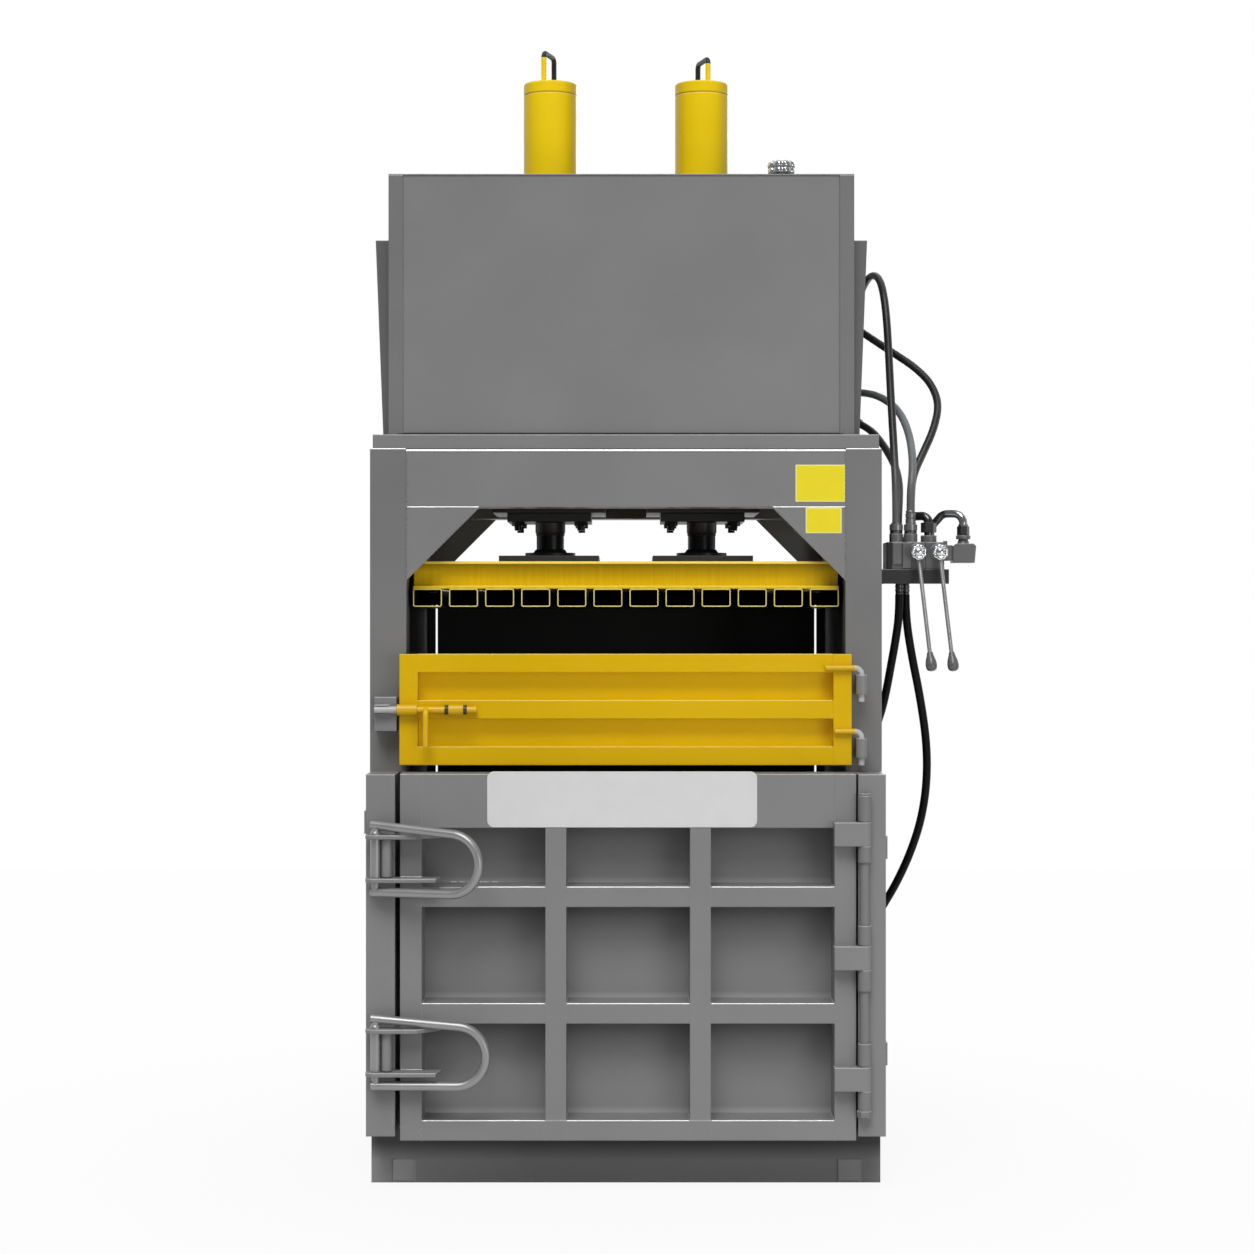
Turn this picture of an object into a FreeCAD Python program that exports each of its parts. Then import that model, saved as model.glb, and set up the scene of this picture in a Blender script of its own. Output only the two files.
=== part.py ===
import FreeCAD, Part
import math
import os
import re
import Sketcher

# A vertical baler for cardboard and film: a welded frame round a pressing chamber, a platen
# driven down by two hydraulic cylinders, a low main door, a small feed door above it, and a
# cabinet on top with the oil tank, the motor and the pump.
#
# Frame of the part: X to the right seen from the front, the front looks along -Y, Z is up,
# and the origin is on the floor at the middle of the frame.

Vector = FreeCAD.Vector
doc = FreeCAD.newDocument("Baler")

# ---------------------------------------------------------------------------------------
# Driving sizes, in millimetres and degrees
# ---------------------------------------------------------------------------------------

SIZES = {
    # Welded frame
    "frame_width": 1408,
    "frame_depth": 900,
    "frame_top": 2018,
    "column_width": 100,
    "column_depth": 100,
    "column_wall": 6,
    "base_inset": 4,
    "base_height": 150,
    "base_flange": 60,
    "base_wall": 8,
    "base_rail_width": 80,
    "skid_size": 60,
    "skid_wall": 4,
    "skid_inset": 88,
    "skid_lift": 5,
    "skid_proud": 3,
    "beam_drop": 4,
    "beam_height": 156,
    "beam_wall": 6,
    "gusset_leg": 202,
    "gusset_thickness": 10,
    # Pressing chamber
    "wall_thickness": 6,
    "wall_top": 1700,
    "wall_rib_size": 60,
    "wall_rib_wall": 4,
    "wall_rib_count": 4,
    "wall_rib_first": 230,
    "wall_rib_pitch": 455,
    "slit_inset": 26,
    "slit_width": 6,
    "bar_count": 12,
    "bar_gap": 20,
    "floor_rear_gap": 10,
    "bar_height": 50,
    "bar_wall": 3,
    "bar_corner": 6,
    # Posts of the main door
    "post_inset": 4,
    "left_post_width": 78,
    "right_post_width": 74,
    "post_depth": 155,
    "post_bottom": 156,
    "post_top": 1131,
    "post_wall": 6,
    "tab_height": 62,
    "tab_depth": 60,
    "tab_reach": 5,
    "left_tab_height": 1002,
    "right_tab_height": 934,
    "low_tab_height": 378,
    # Main door
    "door_left_gap": 14,
    "door_right_gap": 6,
    "door_bottom": 145,
    "door_top": 1132,
    "door_depth": 120,
    "door_bar_wall": 5,
    "door_stile": 58,
    "door_rib": 56,
    "door_rail": 54,
    "door_top_rail": 145,
    "door_low_rail_at": 460,
    "door_high_rail_at": 774,
    "door_sheet": 8,
    "door_sheet_inset": 5,
    # Hinge of the main door
    "hinge_inset": 15,
    "hinge_standoff": 1,
    "knuckle_diameter": 36,
    "pin_diameter": 26,
    "pin_head_diameter": 34,
    "pin_head_height": 6,
    "pin_nut_across": 36,
    "pin_nut_height": 18,
    "running_clearance": 0.05,
    "seat_clearance": 0.3,
    "strap_height": 64,
    "strap_length": 82,
    "strap_low": 283,
    "strap_mid": 608,
    "strap_high": 940,
    "knuckle_over_low": 61,
    "knuckle_under_low": 53,
    "knuckle_over_mid": 53,
    "knuckle_under_mid": 57,
    "knuckle_over_high": 70,
    "knuckle_under_high": 44,
    "knuckle_play": 1.5,
    "knuckle_inset": 4,
    # Locks of the main door
    "lock_reach": 63,
    "lock_standoff": 35,
    "lock_pin_diameter": 22,
    "lock_drum_diameter": 28,
    "lock_drum_play": 1,
    "lock_plate": 11,
    "lock_pitch": 116,
    "lock_plate_radius": 27,
    "lock_plate_hold": 110,
    "lock_plate_taper": 60,
    "lock_plate_clip": 10,
    "lock_plate_back_gap": 1.5,
    "catch_inset": 19,
    "catch_diameter": 28,
    "catch_height": 100,
    "catch_web": 10,
    "upper_lock": 908,
    "lower_lock": 389,
    "handle_bar": 25,
    "handle_reach": 217,
    "handle_radius": 80,
    "handle_drop": 90,
    "handle_slope": 4.8,
    "handle_tail": 12,
    "upper_handle_turn": 18.5,
    "lower_handle_turn": 3,
    # Feed door
    "feed_left_lap": 14,
    "feed_right_lap": 12,
    "feed_bottom": 1151,
    "feed_height": 303,
    "feed_bar": 50,
    "feed_bar_wall": 3,
    "feed_sheet": 3,
    "feed_proud": 60,
    "feed_hinge_gap": 26,
    "feed_pin": 16,
    "feed_sleeve": 30,
    "feed_sleeve_length": 54,
    "feed_upper_arm": 1416,
    "feed_lower_arm": 1243,
    "feed_arm_drop": 18,
    "feed_upper_arm_hold": 73,
    "feed_lower_arm_hold": 48,
    "feed_pin_tail": 20,
    "sleeve_block": 24,
    # Slide bolt of the feed door
    "bolt_rod": 20,
    "bolt_tip_reach": 67,
    "bolt_length": 279,
    "bolt_travel": 41,
    "guide_diameter": 30,
    "guide_outer_proud": 5,
    "guide_outer_length": 55,
    "guide_inner_inset": 135,
    "guide_inner_length": 40,
    "guide_ring": 10,
    "guide_ring_diameter": 26,
    "bolt_stop_gap": 2,
    "bolt_handle_bar": 16,
    "bolt_handle_drop": 101,
    "bolt_handle_bend": 22,
    "keeper_width": 60,
    "keeper_low": 1244,
    "keeper_height": 93,
    "keeper_length": 40,
    "keeper_wall": 2,
    "keeper_lap": 1,
    "keeper_back_gap": 2,
    "keeper_mouth_run": 25,
    # Platen
    "platen_side_gap": 14,
    "platen_setback": 53,
    "platen_rear_gap": 9,
    "platen_bottom": 1584,
    "platen_channel": 76,
    "platen_flange": 42,
    "platen_wall": 8,
    "platen_rib": 60,
    "pad_size": 286,
    "pad_thickness": 22,
    # Cylinders
    "cylinder_at": 220,
    "cylinder_diameter": 154,
    "cylinder_bore": 125,
    "cylinder_length": 1216,
    "cap_height": 35,
    "cap_edge": 3,
    "cap_groove": 3,
    "rod_diameter": 80,
    "piston_top_gap": 15,
    "piston_height": 55,
    "piston_clearance": 0.06,
    "foot_diameter": 146,
    "foot_thickness": 11,
    "foot_neck": 100,
    "foot_flare": 10,
    "foot_lip": 3,
    "foot_seat_gap": 0.1,
    "gland_diameter": 87,
    "gland_groove": 2,
    "gland_proud": 37,
    "gland_lip": 6,
    "gland_seat_gap": 0.2,
    "gland_head": 46,
    "flange_size": 240,
    "flange_thickness": 24,
    "mount_plate_size": 320,
    "mount_plate_thickness": 18,
    "mount_plate_drop": 4,
    "bolt_spacing": 180,
    "flange_bolt": 20,
    "flange_nut": 32,
    "flange_nut_height": 12,
    "flange_head": 30,
    "flange_hole_play": 1,
    "flange_bolt_tail": 13,
    "cross_beam_width": 50,
    "cross_beam_offset": 134,
    "loop_bar": 15,
    "loop_half": 46,
    "loop_corner": 14,
    "loop_turn": 73,
    "loop_offset": 4,
    "loop_height_left": 85,
    "loop_height_right": 67,
    # Deck and cabinet on top
    "deck_side_inset": 7,
    "deck_front_inset": 5,
    "deck_height": 40,
    "deck_flange": 60,
    "deck_wall": 5,
    "deck_hole": 170,
    "cabinet_left_inset": 49,
    "cabinet_right_inset": 74,
    "cabinet_setback": 20,
    "cabinet_height": 717,
    "cabinet_angle": 40,
    "cabinet_sheet": 3,
    "cabinet_foot_gap": 5,
    "hood_drop": 175,
    "hood_top_reach": 39,
    "hood_foot_reach": 18,
    "hood_length": 300,
    # Power unit in the cabinet
    "tank_side_gap": 30,
    "tank_width": 290,
    "tank_setback": 40,
    "tank_length": 650,
    "tank_height": 560,
    "tank_wall": 4,
    "breather_inset": 127,
    "breather_setback": 90,
    "breather_skirt": 8,
    "breather_dome": 12,
    "breather_brow": 7,
    "neck_diameter": 56,
    "neck_bore": 44,
    "neck_flange": 66,
    "neck_flange_height": 6,
    "neck_rise": 16,
    "neck_hole_play": 2,
    "breather_diameter": 74,
    "breather_height": 34,
    "breather_lobes": 8,
    "motor_inset": 195,
    "motor_diameter": 200,
    "motor_length": 330,
    "motor_setback": 120,
    "motor_foot": 20,
    "motor_fan_length": 40,
    "motor_fan_step": 8,
    "motor_foot_inset": 10,
    "terminal_size": 100,
    "terminal_setback": 90,
    "terminal_rise": 40,
    "pump_bell": 130,
    "pump_bell_length": 70,
    "pump_body": 100,
    "pump_length": 120,
    # Hand valve beside the right column
    "bracket_reach": 185,
    "bracket_height": 40,
    "bracket_depth": 120,
    "bracket_plate": 8,
    "bracket_setback": 2,
    "bracket_drop": 371,
    "valve_gap": 16,
    "valve_width": 157,
    "valve_slices": 3,
    "valve_groove": 2,
    "valve_setback": 10,
    "valve_depth": 125,
    "valve_height": 75,
    "spool_cap": 48,
    "spool_cap_height": 4,
    "port_boss": 38,
    "port_boss_height": 24,
    "elbow_inset": 36,
    "elbow_boss": 44,
    "elbow_boss_height": 20,
    "port_neck_length": 28,
    "port_neck_height": 43,
    "port_neck_depth": 50,
    "port_neck_drop": 7,
    "port_block_width": 64,
    "port_block_depth": 64,
    "port_block_height": 53,
    "port_block_drop": 3,
    "port_corner": 7,
    "port_taper": 4,
    "port_throat": 26,
    "port_foot": 34,
    "port_throat_height": 13,
    "port_rim": 40,
    "port_rim_height": 10,
    "plug_diameter": 12,
    "plug_height": 12,
    "plug_inset": 10,
    "lever_first": 82,
    "lever_pitch": 59,
    "lever_pivot_drop": 29,
    "lever_gap": 7,
    "lever_head": 40,
    "lever_head_height": 10,
    "lever_pin_proud": 3,
    "lever_eye": 36,
    "lever_eye_width": 14,
    "lever_pin": 12,
    "lever_bar": 10,
    "lever_length": 285,
    "lever_forward": 15,
    "lever_outward": 5,
    "lever_ear": 6,
    "knob_diameter": 31,
    "knob_length": 52,
    # Hoses and fittings
    "pressure_hose": 22,
    "drain_hose": 23,
    "ferrule": 28,
    "ferrule_length": 45,
    "fitting_nut": 30,
    "fitting_nut_height": 18,
    "collar": 37,
    "collar_height": 18,
    "collar_lift": 8,
    "side_elbow_length": 12,
    "wall_elbow": 24,
    "drain_ferrule": 20,
    "elbow_tube": 25,
    "elbow_drop": 13,
    "elbow_nut": 38,
    "elbow_nut_height": 28,
    "elbow_nut_lift": 8,
    "pipe_tube": 21,
    "pipe_inset": 11,
    "pipe_setback": 17,
    "pipe_rise": 44,
    "pipe_top": 76,
    "pipe_lead": 36,
    "pipe_nut": 30,
    "pipe_nut_height": 26,
}

# Places worked out from the driving sizes. Each is a formula on names from this table or
# the one above.
PLACES = {
    "frame_front": "-frame_depth / 2",
    "frame_rear": "frame_depth / 2",
    "frame_side": "frame_width / 2",
    "column_inner": "frame_side - column_width",
    "base_half": "frame_side - base_inset",
    "skid_centre": "base_half - skid_inset",
    "chamber_front": "frame_front + column_depth",
    "chamber_rear": "frame_rear - column_depth",
    "beam_top": "frame_top - beam_drop",
    "beam_bottom": "beam_top - beam_height",
    "slit_centre": "column_inner - slit_inset",
    "platen_half": "column_inner - platen_side_gap",
    "bar_pitch": "(2 * platen_half + bar_gap) / bar_count",
    "bar_width": "bar_pitch - bar_gap",
    "bar_first": "-bar_pitch * (bar_count - 1) / 2",
    "floor_top": "base_height + bar_height",
    "post_outer": "frame_side - post_inset",
    "post_front": "frame_front - post_depth",
    "left_post_inner": "-(post_outer - left_post_width)",
    "right_post_inner": "post_outer - right_post_width",
    "door_left": "left_post_inner + door_left_gap",
    "door_right": "right_post_inner - door_right_gap",
    "door_back": "post_front + door_depth",
    "hinge_x": "right_post_inner + hinge_inset",
    "hinge_y": "post_front - knuckle_diameter / 2 - hinge_standoff",
    "lock_pin_at": "-door_left + lock_reach",
    "lock_plate_end": "-door_left - lock_plate_hold",
    "catch_at": "-left_post_inner + catch_inset",
    "lock_y": "post_front - lock_standoff",
    "lock_gap": "lock_pitch - lock_plate",
    "feed_left": "column_inner + feed_left_lap",
    "feed_right": "column_inner + feed_right_lap",
    "feed_hinge_at": "feed_right + feed_hinge_gap",
    "feed_upper_arm_from": "feed_right - feed_upper_arm_hold",
    "feed_lower_arm_from": "feed_right - feed_lower_arm_hold",
    "feed_front": "frame_front - feed_proud",
    "feed_back": "feed_front + feed_bar",
    "feed_top": "feed_bottom + feed_height",
    "feed_mid": "feed_bottom + feed_height / 2",
    "feed_hinge_y": "feed_front - feed_pin / 2",
    "bolt_tip": "feed_left + bolt_tip_reach",
    "bolt_end": "bolt_tip - bolt_length",
    "guide_outer_from": "feed_left + guide_outer_proud",
    "guide_inner_from": "feed_left - guide_inner_inset",
    "bolt_y": "feed_front - guide_diameter / 2",
    "bolt_handle_at": "guide_inner_from + guide_ring + bolt_stop_gap + bolt_travel + bolt_handle_bar / 2",
    "platen_front": "frame_front + platen_setback",
    "platen_rear": "chamber_rear - platen_rear_gap",
    "platen_channel_bottom": "platen_bottom + bar_height",
    "platen_top": "platen_channel_bottom + platen_channel",
    "pad_top": "platen_top + pad_thickness",
    "cylinder_y": "(platen_front + platen_rear) / 2",
    "mount_plate_bottom": "beam_bottom - mount_plate_drop",
    "mount_plate_top": "mount_plate_bottom + mount_plate_thickness",
    "flange_bottom": "mount_plate_bottom - flange_thickness",
    "gland_bottom": "flange_bottom - gland_proud",
    "cylinder_top": "mount_plate_bottom + cylinder_length",
    "rod_top": "cylinder_top - piston_top_gap - piston_height",
    "cap_top": "cylinder_top + cap_height",
    "deck_top": "frame_top + deck_height",
    "deck_half_width": "frame_side - deck_side_inset",
    "deck_half_depth": "frame_rear - deck_front_inset",
    "cabinet_front": "frame_front + cabinet_setback",
    "cabinet_rear": "-cabinet_front",
    "cabinet_left": "frame_side - cabinet_left_inset",
    "cabinet_right": "frame_side - cabinet_right_inset",
    "cabinet_top": "deck_top + cabinet_height",
    "cover_top": "cabinet_top + cabinet_sheet",
    "hood_top": "cabinet_top - hood_drop",
    "tank_from": "cabinet_right - tank_side_gap - tank_width",
    "tank_front": "cabinet_front + tank_setback",
    "tank_top": "deck_top + tank_height",
    "neck_top": "cover_top + neck_rise",
    "breather_at": "tank_from + breather_inset",
    "breather_y": "tank_front + breather_setback",
    "motor_at": "-cabinet_left + motor_inset",
    "motor_front": "cabinet_front + motor_setback",
    "motor_rear": "motor_front + motor_length",
    "bracket_top": "deck_top - bracket_drop",
    "valve_from": "frame_side + valve_gap",
    "valve_right": "valve_from + valve_width",
    "valve_top": "bracket_top + valve_height",
    "valve_front": "frame_front + valve_setback",
    "valve_rear": "valve_front + valve_depth",
    "valve_mid": "valve_front + valve_depth / 2",
    "elbow_at": "valve_right - elbow_inset",
    "elbow_foot": "valve_top + elbow_boss_height",
    "port_from": "valve_right + port_neck_length",
    "port_at": "port_from + port_block_width / 2",
    "port_top": "valve_top - port_block_drop",
    "port_rim_top": "port_top + port_throat_height + port_rim_height",
    "lever_inner_at": "valve_from + lever_first",
    "lever_outer_at": "lever_inner_at + lever_pitch",
    "lever_z": "valve_top - lever_pivot_drop",
    "lever_y": "valve_front - lever_eye / 2 - lever_gap",
}

sheet = doc.addObject("Spreadsheet::Sheet", "Sizes")
for row, (alias, value) in enumerate(SIZES.items(), 1):
    sheet.set(f"A{row}", alias)
    sheet.set(f"B{row}", str(value))
    sheet.setAlias(f"B{row}", alias)
doc.recompute()


def formula(text):
    """Write a formula of size and place names as an expression on the sheet."""
    def swap(match):
        word = match.group(0)
        if word in PLACES:
            return "(" + formula(PLACES[word]) + ")"
        return "Sizes." + word if word in SIZES else word
    return re.sub(r"[a-z]\w*", swap, str(text))


probe = doc.addObject("App::FeaturePython", "Probe")
probe.addProperty("App::PropertyFloat", "value")


def number(text):
    """The present value of a formula, for a sketch's first drawing and for hoses."""
    probe.setExpression("value", formula(text))
    probe.recompute()
    return probe.value


def bind(piece, formulas):
    for name, text in formulas.items():
        piece.setExpression(name, formula(text))
    return piece


def place(piece, x="0", y="0", z="0"):
    return bind(piece, {"Placement.Base.x": x, "Placement.Base.y": y, "Placement.Base.z": z})


TURNS = {
    "X": FreeCAD.Rotation(Vector(0, 1, 0), 90),
    "Y": FreeCAD.Rotation(Vector(1, 0, 0), -90),
    "Z": FreeCAD.Rotation(),
}


def box(name, x, y, z):
    """A block between two limits along each axis."""
    piece = doc.addObject("Part::Box", name)
    for side, (low, high) in zip(("Length", "Width", "Height"), (x, y, z)):
        bind(piece, {side: f"({high}) - ({low})"})
    return place(piece, x[0], y[0], z[0])


def along(piece, axis, middle, span):
    """Lay a round or hexagonal piece along an axis, from one end of its span."""
    piece.Placement = FreeCAD.Placement(Vector(), TURNS[axis])
    bind(piece, {"Height": f"({span[1]}) - ({span[0]})"})
    first, second = middle
    if axis == "X":
        return place(piece, span[0], first, second)
    if axis == "Y":
        return place(piece, first, span[0], second)
    return place(piece, first, second, span[0])


def rod(name, axis, middle, span, diameter):
    piece = doc.addObject("Part::Cylinder", name)
    bind(piece, {"Radius": f"({diameter}) / 2"})
    return along(piece, axis, middle, span)


def hexagon(name, axis, middle, span, across):
    """A hexagonal prism, sized across its flats."""
    piece = doc.addObject("Part::Prism", name)
    piece.Polygon = 6
    bind(piece, {"Circumradius": f"({across}) / 2 / cos(30)"})
    return along(piece, axis, middle, span)


def fuse(name, pieces):
    if len(pieces) == 1:
        return pieces[0]
    whole = doc.addObject("Part::MultiFuse", name)
    whole.Shapes = pieces
    return whole


def cut(name, base, tools):
    """Take one or more tools out of a piece."""
    whole = doc.addObject("Part::Cut", name)
    whole.Base = base
    whole.Tool = fuse(name + "_tools", tools)
    return whole


def group(name, pieces):
    """Keep alike pieces together as separate solids."""
    whole = doc.addObject("Part::Compound", name)
    whole.Links = pieces
    return whole


def mirrored(name, source):
    """The same piece on the other side of the middle plane X = 0."""
    twin = doc.addObject("Part::Mirroring", name)
    twin.Source = source
    twin.Normal = Vector(1, 0, 0)
    return twin


def box_tube(name, axis, x, y, z, wall, cap="0"):
    """A rectangular tube along an axis. cap is what closes each end, or 0 for open ends."""
    limits = {"X": x, "Y": y, "Z": z}
    inner = []
    for letter, (low, high) in limits.items():
        inset = cap if letter == axis else wall
        inner.append((f"({low}) + ({inset})", f"({high}) - ({inset})"))
    return cut(name, box(name + "_outer", x, y, z), [box(name + "_inner", *inner)])


def channel_bars(name, x, y, z, flange, wall):
    """Four channels that make a ring: webs outside, flanges turned inwards."""
    def bar(part, bar_x, bar_y, hollow_x, hollow_y):
        hollow_z = (f"({z[0]}) + ({wall})", f"({z[1]}) - ({wall})")
        return cut(f"{name}_{part}", box(f"{name}_{part}_outer", bar_x, bar_y, z),
                   [box(f"{name}_{part}_hollow", hollow_x, hollow_y, hollow_z)])
    side_y = (f"({y[0]}) + ({flange})", f"({y[1]}) - ({flange})")
    between = (f"({x[0]}) + ({wall})", f"({x[1]}) - ({wall})")
    return [
        bar("front", x, (y[0], side_y[0]), between, (f"({y[0]}) + ({wall})", f"{side_y[0]} + 1")),
        bar("rear", x, (side_y[1], y[1]), between, (f"{side_y[1]} - 1", f"({y[1]}) - ({wall})")),
        bar("left", (x[0], f"({x[0]}) + ({flange})"), side_y, (between[0], f"({x[0]}) + ({flange}) + 1"),
            (f"{side_y[0]} - 1", f"{side_y[1]} + 1")),
        bar("right", (f"({x[1]}) - ({flange})", x[1]), side_y, (f"({x[1]}) - ({flange}) - 1", between[1]),
            (f"{side_y[0]} - 1", f"{side_y[1]} + 1")),
    ]


def drawn_body(name, outline, plane):
    """A body with one closed outline of straight lines, each corner held by two sizes."""
    body = doc.addObject("PartDesign::Body", name)
    sketch = body.newObject("Sketcher::SketchObject", name + "_outline")
    role = plane + "_Plane"
    support = [face for face in body.Origin.OriginFeatures if face.Role == role]
    sketch.AttachmentSupport = [(support[0], "")]
    sketch.MapMode = "FlatFace"
    corners = [Vector(number(across), number(up), 0) for across, up in outline]
    for index, corner in enumerate(corners):
        following = corners[(index + 1) % len(corners)]
        sketch.addGeometry(Part.LineSegment(corner, following))
    for index in range(len(corners)):
        sketch.addConstraint(Sketcher.Constraint("Coincident", index, 2, (index + 1) % len(corners), 1))
    for index, (across, up) in enumerate(outline):
        for kind, text, value in (("DistanceX", across, corners[index].x), ("DistanceY", up, corners[index].y)):
            held = sketch.addConstraint(Sketcher.Constraint(kind, index, 1, value))
            sketch.setExpression(f"Constraints[{held}]", formula(text))
    return body, sketch


def plate(name, outline, span, plane="XY"):
    """A flat piece: its outline on a plane, and the two limits across that plane."""
    body, sketch = drawn_body(name, outline, plane)
    pad = body.newObject("PartDesign::Pad", name + "_pad")
    pad.Profile = sketch
    bind(pad, {"Length": f"({span[1]}) - ({span[0]})"})
    if plane == "XZ":
        return place(body, "0", span[1], "0")
    if plane == "YZ":
        return place(body, span[0], "0", "0")
    return place(body, "0", "0", span[0])


def turned(name, outline, x="0", y="0", z="0"):
    """A turned piece: radius and height of its outline, spun round the upright axis."""
    body, sketch = drawn_body(name, outline, "XZ")
    spin = body.newObject("PartDesign::Revolution", name + "_spin")
    spin.Profile = sketch
    spin.ReferenceAxis = (sketch, ["V_Axis"])
    spin.Angle = 360
    return place(body, x, y, z)


def arc_bar(name, bend, bar, angle, turn=0):
    """Part of an upright ring of round bar: from level upwards, seen square to a turned plane."""
    ring = doc.addObject("Part::Torus", name)
    bind(ring, {"Radius1": bend, "Radius2": f"({bar}) / 2", "Angle3": angle})
    upright = FreeCAD.Rotation(Vector(1, 0, 0), 90)
    ring.Placement = FreeCAD.Placement(Vector(), FreeCAD.Rotation(Vector(0, 0, 1), turn).multiply(upright))
    return ring


NODES = {}


def node(name, piece):
    """Name a finished sub-part, which is written to a file of that name."""
    piece.Label = name
    NODES[name] = piece
    return piece


# ---------------------------------------------------------------------------------------
# Welded frame: base, columns, beams and gussets
# ---------------------------------------------------------------------------------------

def make_base():
    """A ring of channel on the floor, a rail under the middle and two skids through it."""
    ring = channel_bars("base_ring", ("-base_half", "base_half"), ("frame_front", "frame_rear"),
                        ("0", "base_height"), "base_flange", "base_wall")
    rail = box_tube("base_rail", "Y", ("-base_rail_width / 2", "base_rail_width / 2"),
                    ("frame_front + base_wall", "frame_rear - base_wall"), ("0", "base_height"), "base_wall")
    skid = box_tube("base_skid", "Y", ("skid_centre - skid_size / 2", "skid_centre + skid_size / 2"),
                    ("frame_front - skid_proud", "frame_rear + skid_proud"),
                    ("skid_lift", "skid_lift + skid_size"), "skid_wall", cap="skid_wall")
    return fuse("base", ring + [rail, skid, mirrored("base_skid_left", skid)])


def make_bars(name, x_first, y, z):
    """A row of rectangular tubes with a strap's width between them."""
    bars = []
    for index in range(SIZES["bar_count"]):
        low = f"{x_first} + {index} * bar_pitch - bar_width / 2"
        bar = rounded_tube(f"{name}_{index}", (low, f"{low} + bar_width"), y, z)
        bars.append(bar)
    return group(name, bars)


def rounded_tube(name, x, y, z):
    """A rectangular tube along Y with rounded corners, open at both ends."""
    shells = []
    for part, inset, corner in (("outer", "0", "bar_corner"), ("inner", "bar_wall", "bar_corner - bar_wall")):
        left, right = f"{x[0]} + {inset}", f"{x[1]} - {inset}"
        low, high = f"{z[0]} + {inset}", f"{z[1]} - {inset}"
        body, sketch = drawn_body(f"{name}_{part}", [(left, low), (right, low), (right, high), (left, high)], "XZ")
        pad = body.newObject("PartDesign::Pad", f"{name}_{part}_pad")
        pad.Profile = sketch
        bind(pad, {"Length": f"({y[1]}) - ({y[0]})"})
        place(body, "0", y[1], "0")
        doc.recompute()
        edges = [f"Edge{index}" for index, edge in enumerate(pad.Shape.Edges, 1)
                 if abs(edge.tangentAt(edge.FirstParameter).y) > 0.9]
        rounding = body.newObject("PartDesign::Fillet", f"{name}_{part}_corners")
        rounding.Base = (pad, edges)
        bind(rounding, {"Radius": corner})
        shells.append(body)
    return cut(name, shells[0], [shells[1]])


def make_columns():
    front = box_tube("front_column", "Z", ("column_inner", "frame_side"), ("frame_front", "chamber_front"),
                     ("base_height", "frame_top"), "column_wall", cap="column_wall")
    rear = box_tube("rear_column", "Z", ("column_inner", "frame_side"), ("chamber_rear", "frame_rear"),
                    ("base_height", "frame_top"), "column_wall", cap="column_wall")
    node("front_columns", group("front_columns", [front, mirrored("front_column_left", front)]))
    node("rear_columns", group("rear_columns", [rear, mirrored("rear_column_left", rear)]))


def make_beams():
    """The ring of four beams that ties the columns together at the top."""
    height = ("beam_bottom", "beam_top")
    between = ("-column_inner", "column_inner")
    front = box_tube("front_beam", "X", between, ("frame_front", "chamber_front"), height, "beam_wall")
    rear = box_tube("rear_beam", "X", between, ("chamber_rear", "frame_rear"), height, "beam_wall")
    side = box_tube("side_beam", "Y", ("column_inner", "frame_side"), ("chamber_front", "chamber_rear"),
                    height, "beam_wall")
    node("beam_ring", group("beam_ring", [front, rear, side, mirrored("side_beam_left", side)]))

    cross = []
    for side_name, sign in (("right", "1"), ("left", "-1")):
        for part, offset in (("outer", "cross_beam_offset"), ("inner", "-cross_beam_offset")):
            middle = f"{sign} * (cylinder_at + {offset})"
            x = (f"{middle} - cross_beam_width / 2", f"{middle} + cross_beam_width / 2")
            cross.append(box_tube(f"cross_beam_{side_name}_{part}", "Y", x, ("chamber_front", "chamber_rear"),
                                  ("mount_plate_top", "beam_top"), "beam_wall"))
    node("cross_beams", group("cross_beams", cross))


def make_gussets():
    """Triangular plates in the four upper corners of the front and rear openings."""
    corner = [("column_inner", "beam_bottom"), ("column_inner - gusset_leg", "beam_bottom"),
              ("column_inner", "beam_bottom - gusset_leg")]
    front = plate("front_gusset", corner, ("frame_front", "frame_front + gusset_thickness"), "XZ")
    rear = plate("rear_gusset", corner, ("frame_rear - gusset_thickness", "frame_rear"), "XZ")
    return group("gussets", [front, mirrored("front_gusset_left", front),
                             rear, mirrored("rear_gusset_left", rear)])


# ---------------------------------------------------------------------------------------
# Pressing chamber
# ---------------------------------------------------------------------------------------

def rib_height(index):
    low = f"wall_rib_first + {index} * wall_rib_pitch"
    return (low, f"{low} + wall_rib_size")


def make_walls():
    """Side walls and rear wall of sheet, each with tubes welded across its outer side."""
    outer_face = "column_inner + wall_thickness"
    sides = [box("side_sheet", ("column_inner", outer_face), ("chamber_front", "chamber_rear"),
                 ("base_height", "wall_top"))]
    for index in range(SIZES["wall_rib_count"]):
        sides.append(box_tube(f"side_rib_{index}", "Y", (outer_face, f"{outer_face} + wall_rib_size"),
                              ("chamber_front", "chamber_rear"), rib_height(index), "wall_rib_wall"))
    sides += [mirrored(piece.Name + "_left", piece) for piece in sides]
    node("side_walls", group("side_walls", sides))

    rear_face = "chamber_rear + wall_thickness"
    height = ("floor_top", "wall_top")
    slit_inner = "slit_centre - slit_width / 2"
    rears = [box("rear_sheet", (f"-({slit_inner})", slit_inner), ("chamber_rear", rear_face), height)]
    strip_x = ("slit_centre + slit_width / 2", "column_inner")
    strip = box("rear_strip", strip_x, ("chamber_rear", rear_face), height)
    rears += [strip, mirrored("rear_strip_left", strip)]
    for index in range(SIZES["wall_rib_count"]):
        rears.append(box_tube(f"rear_rib_{index}", "X", ("-column_inner", "column_inner"),
                              (rear_face, f"{rear_face} + wall_rib_size"), rib_height(index), "wall_rib_wall"))
    node("rear_wall", group("rear_wall", rears))


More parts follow.
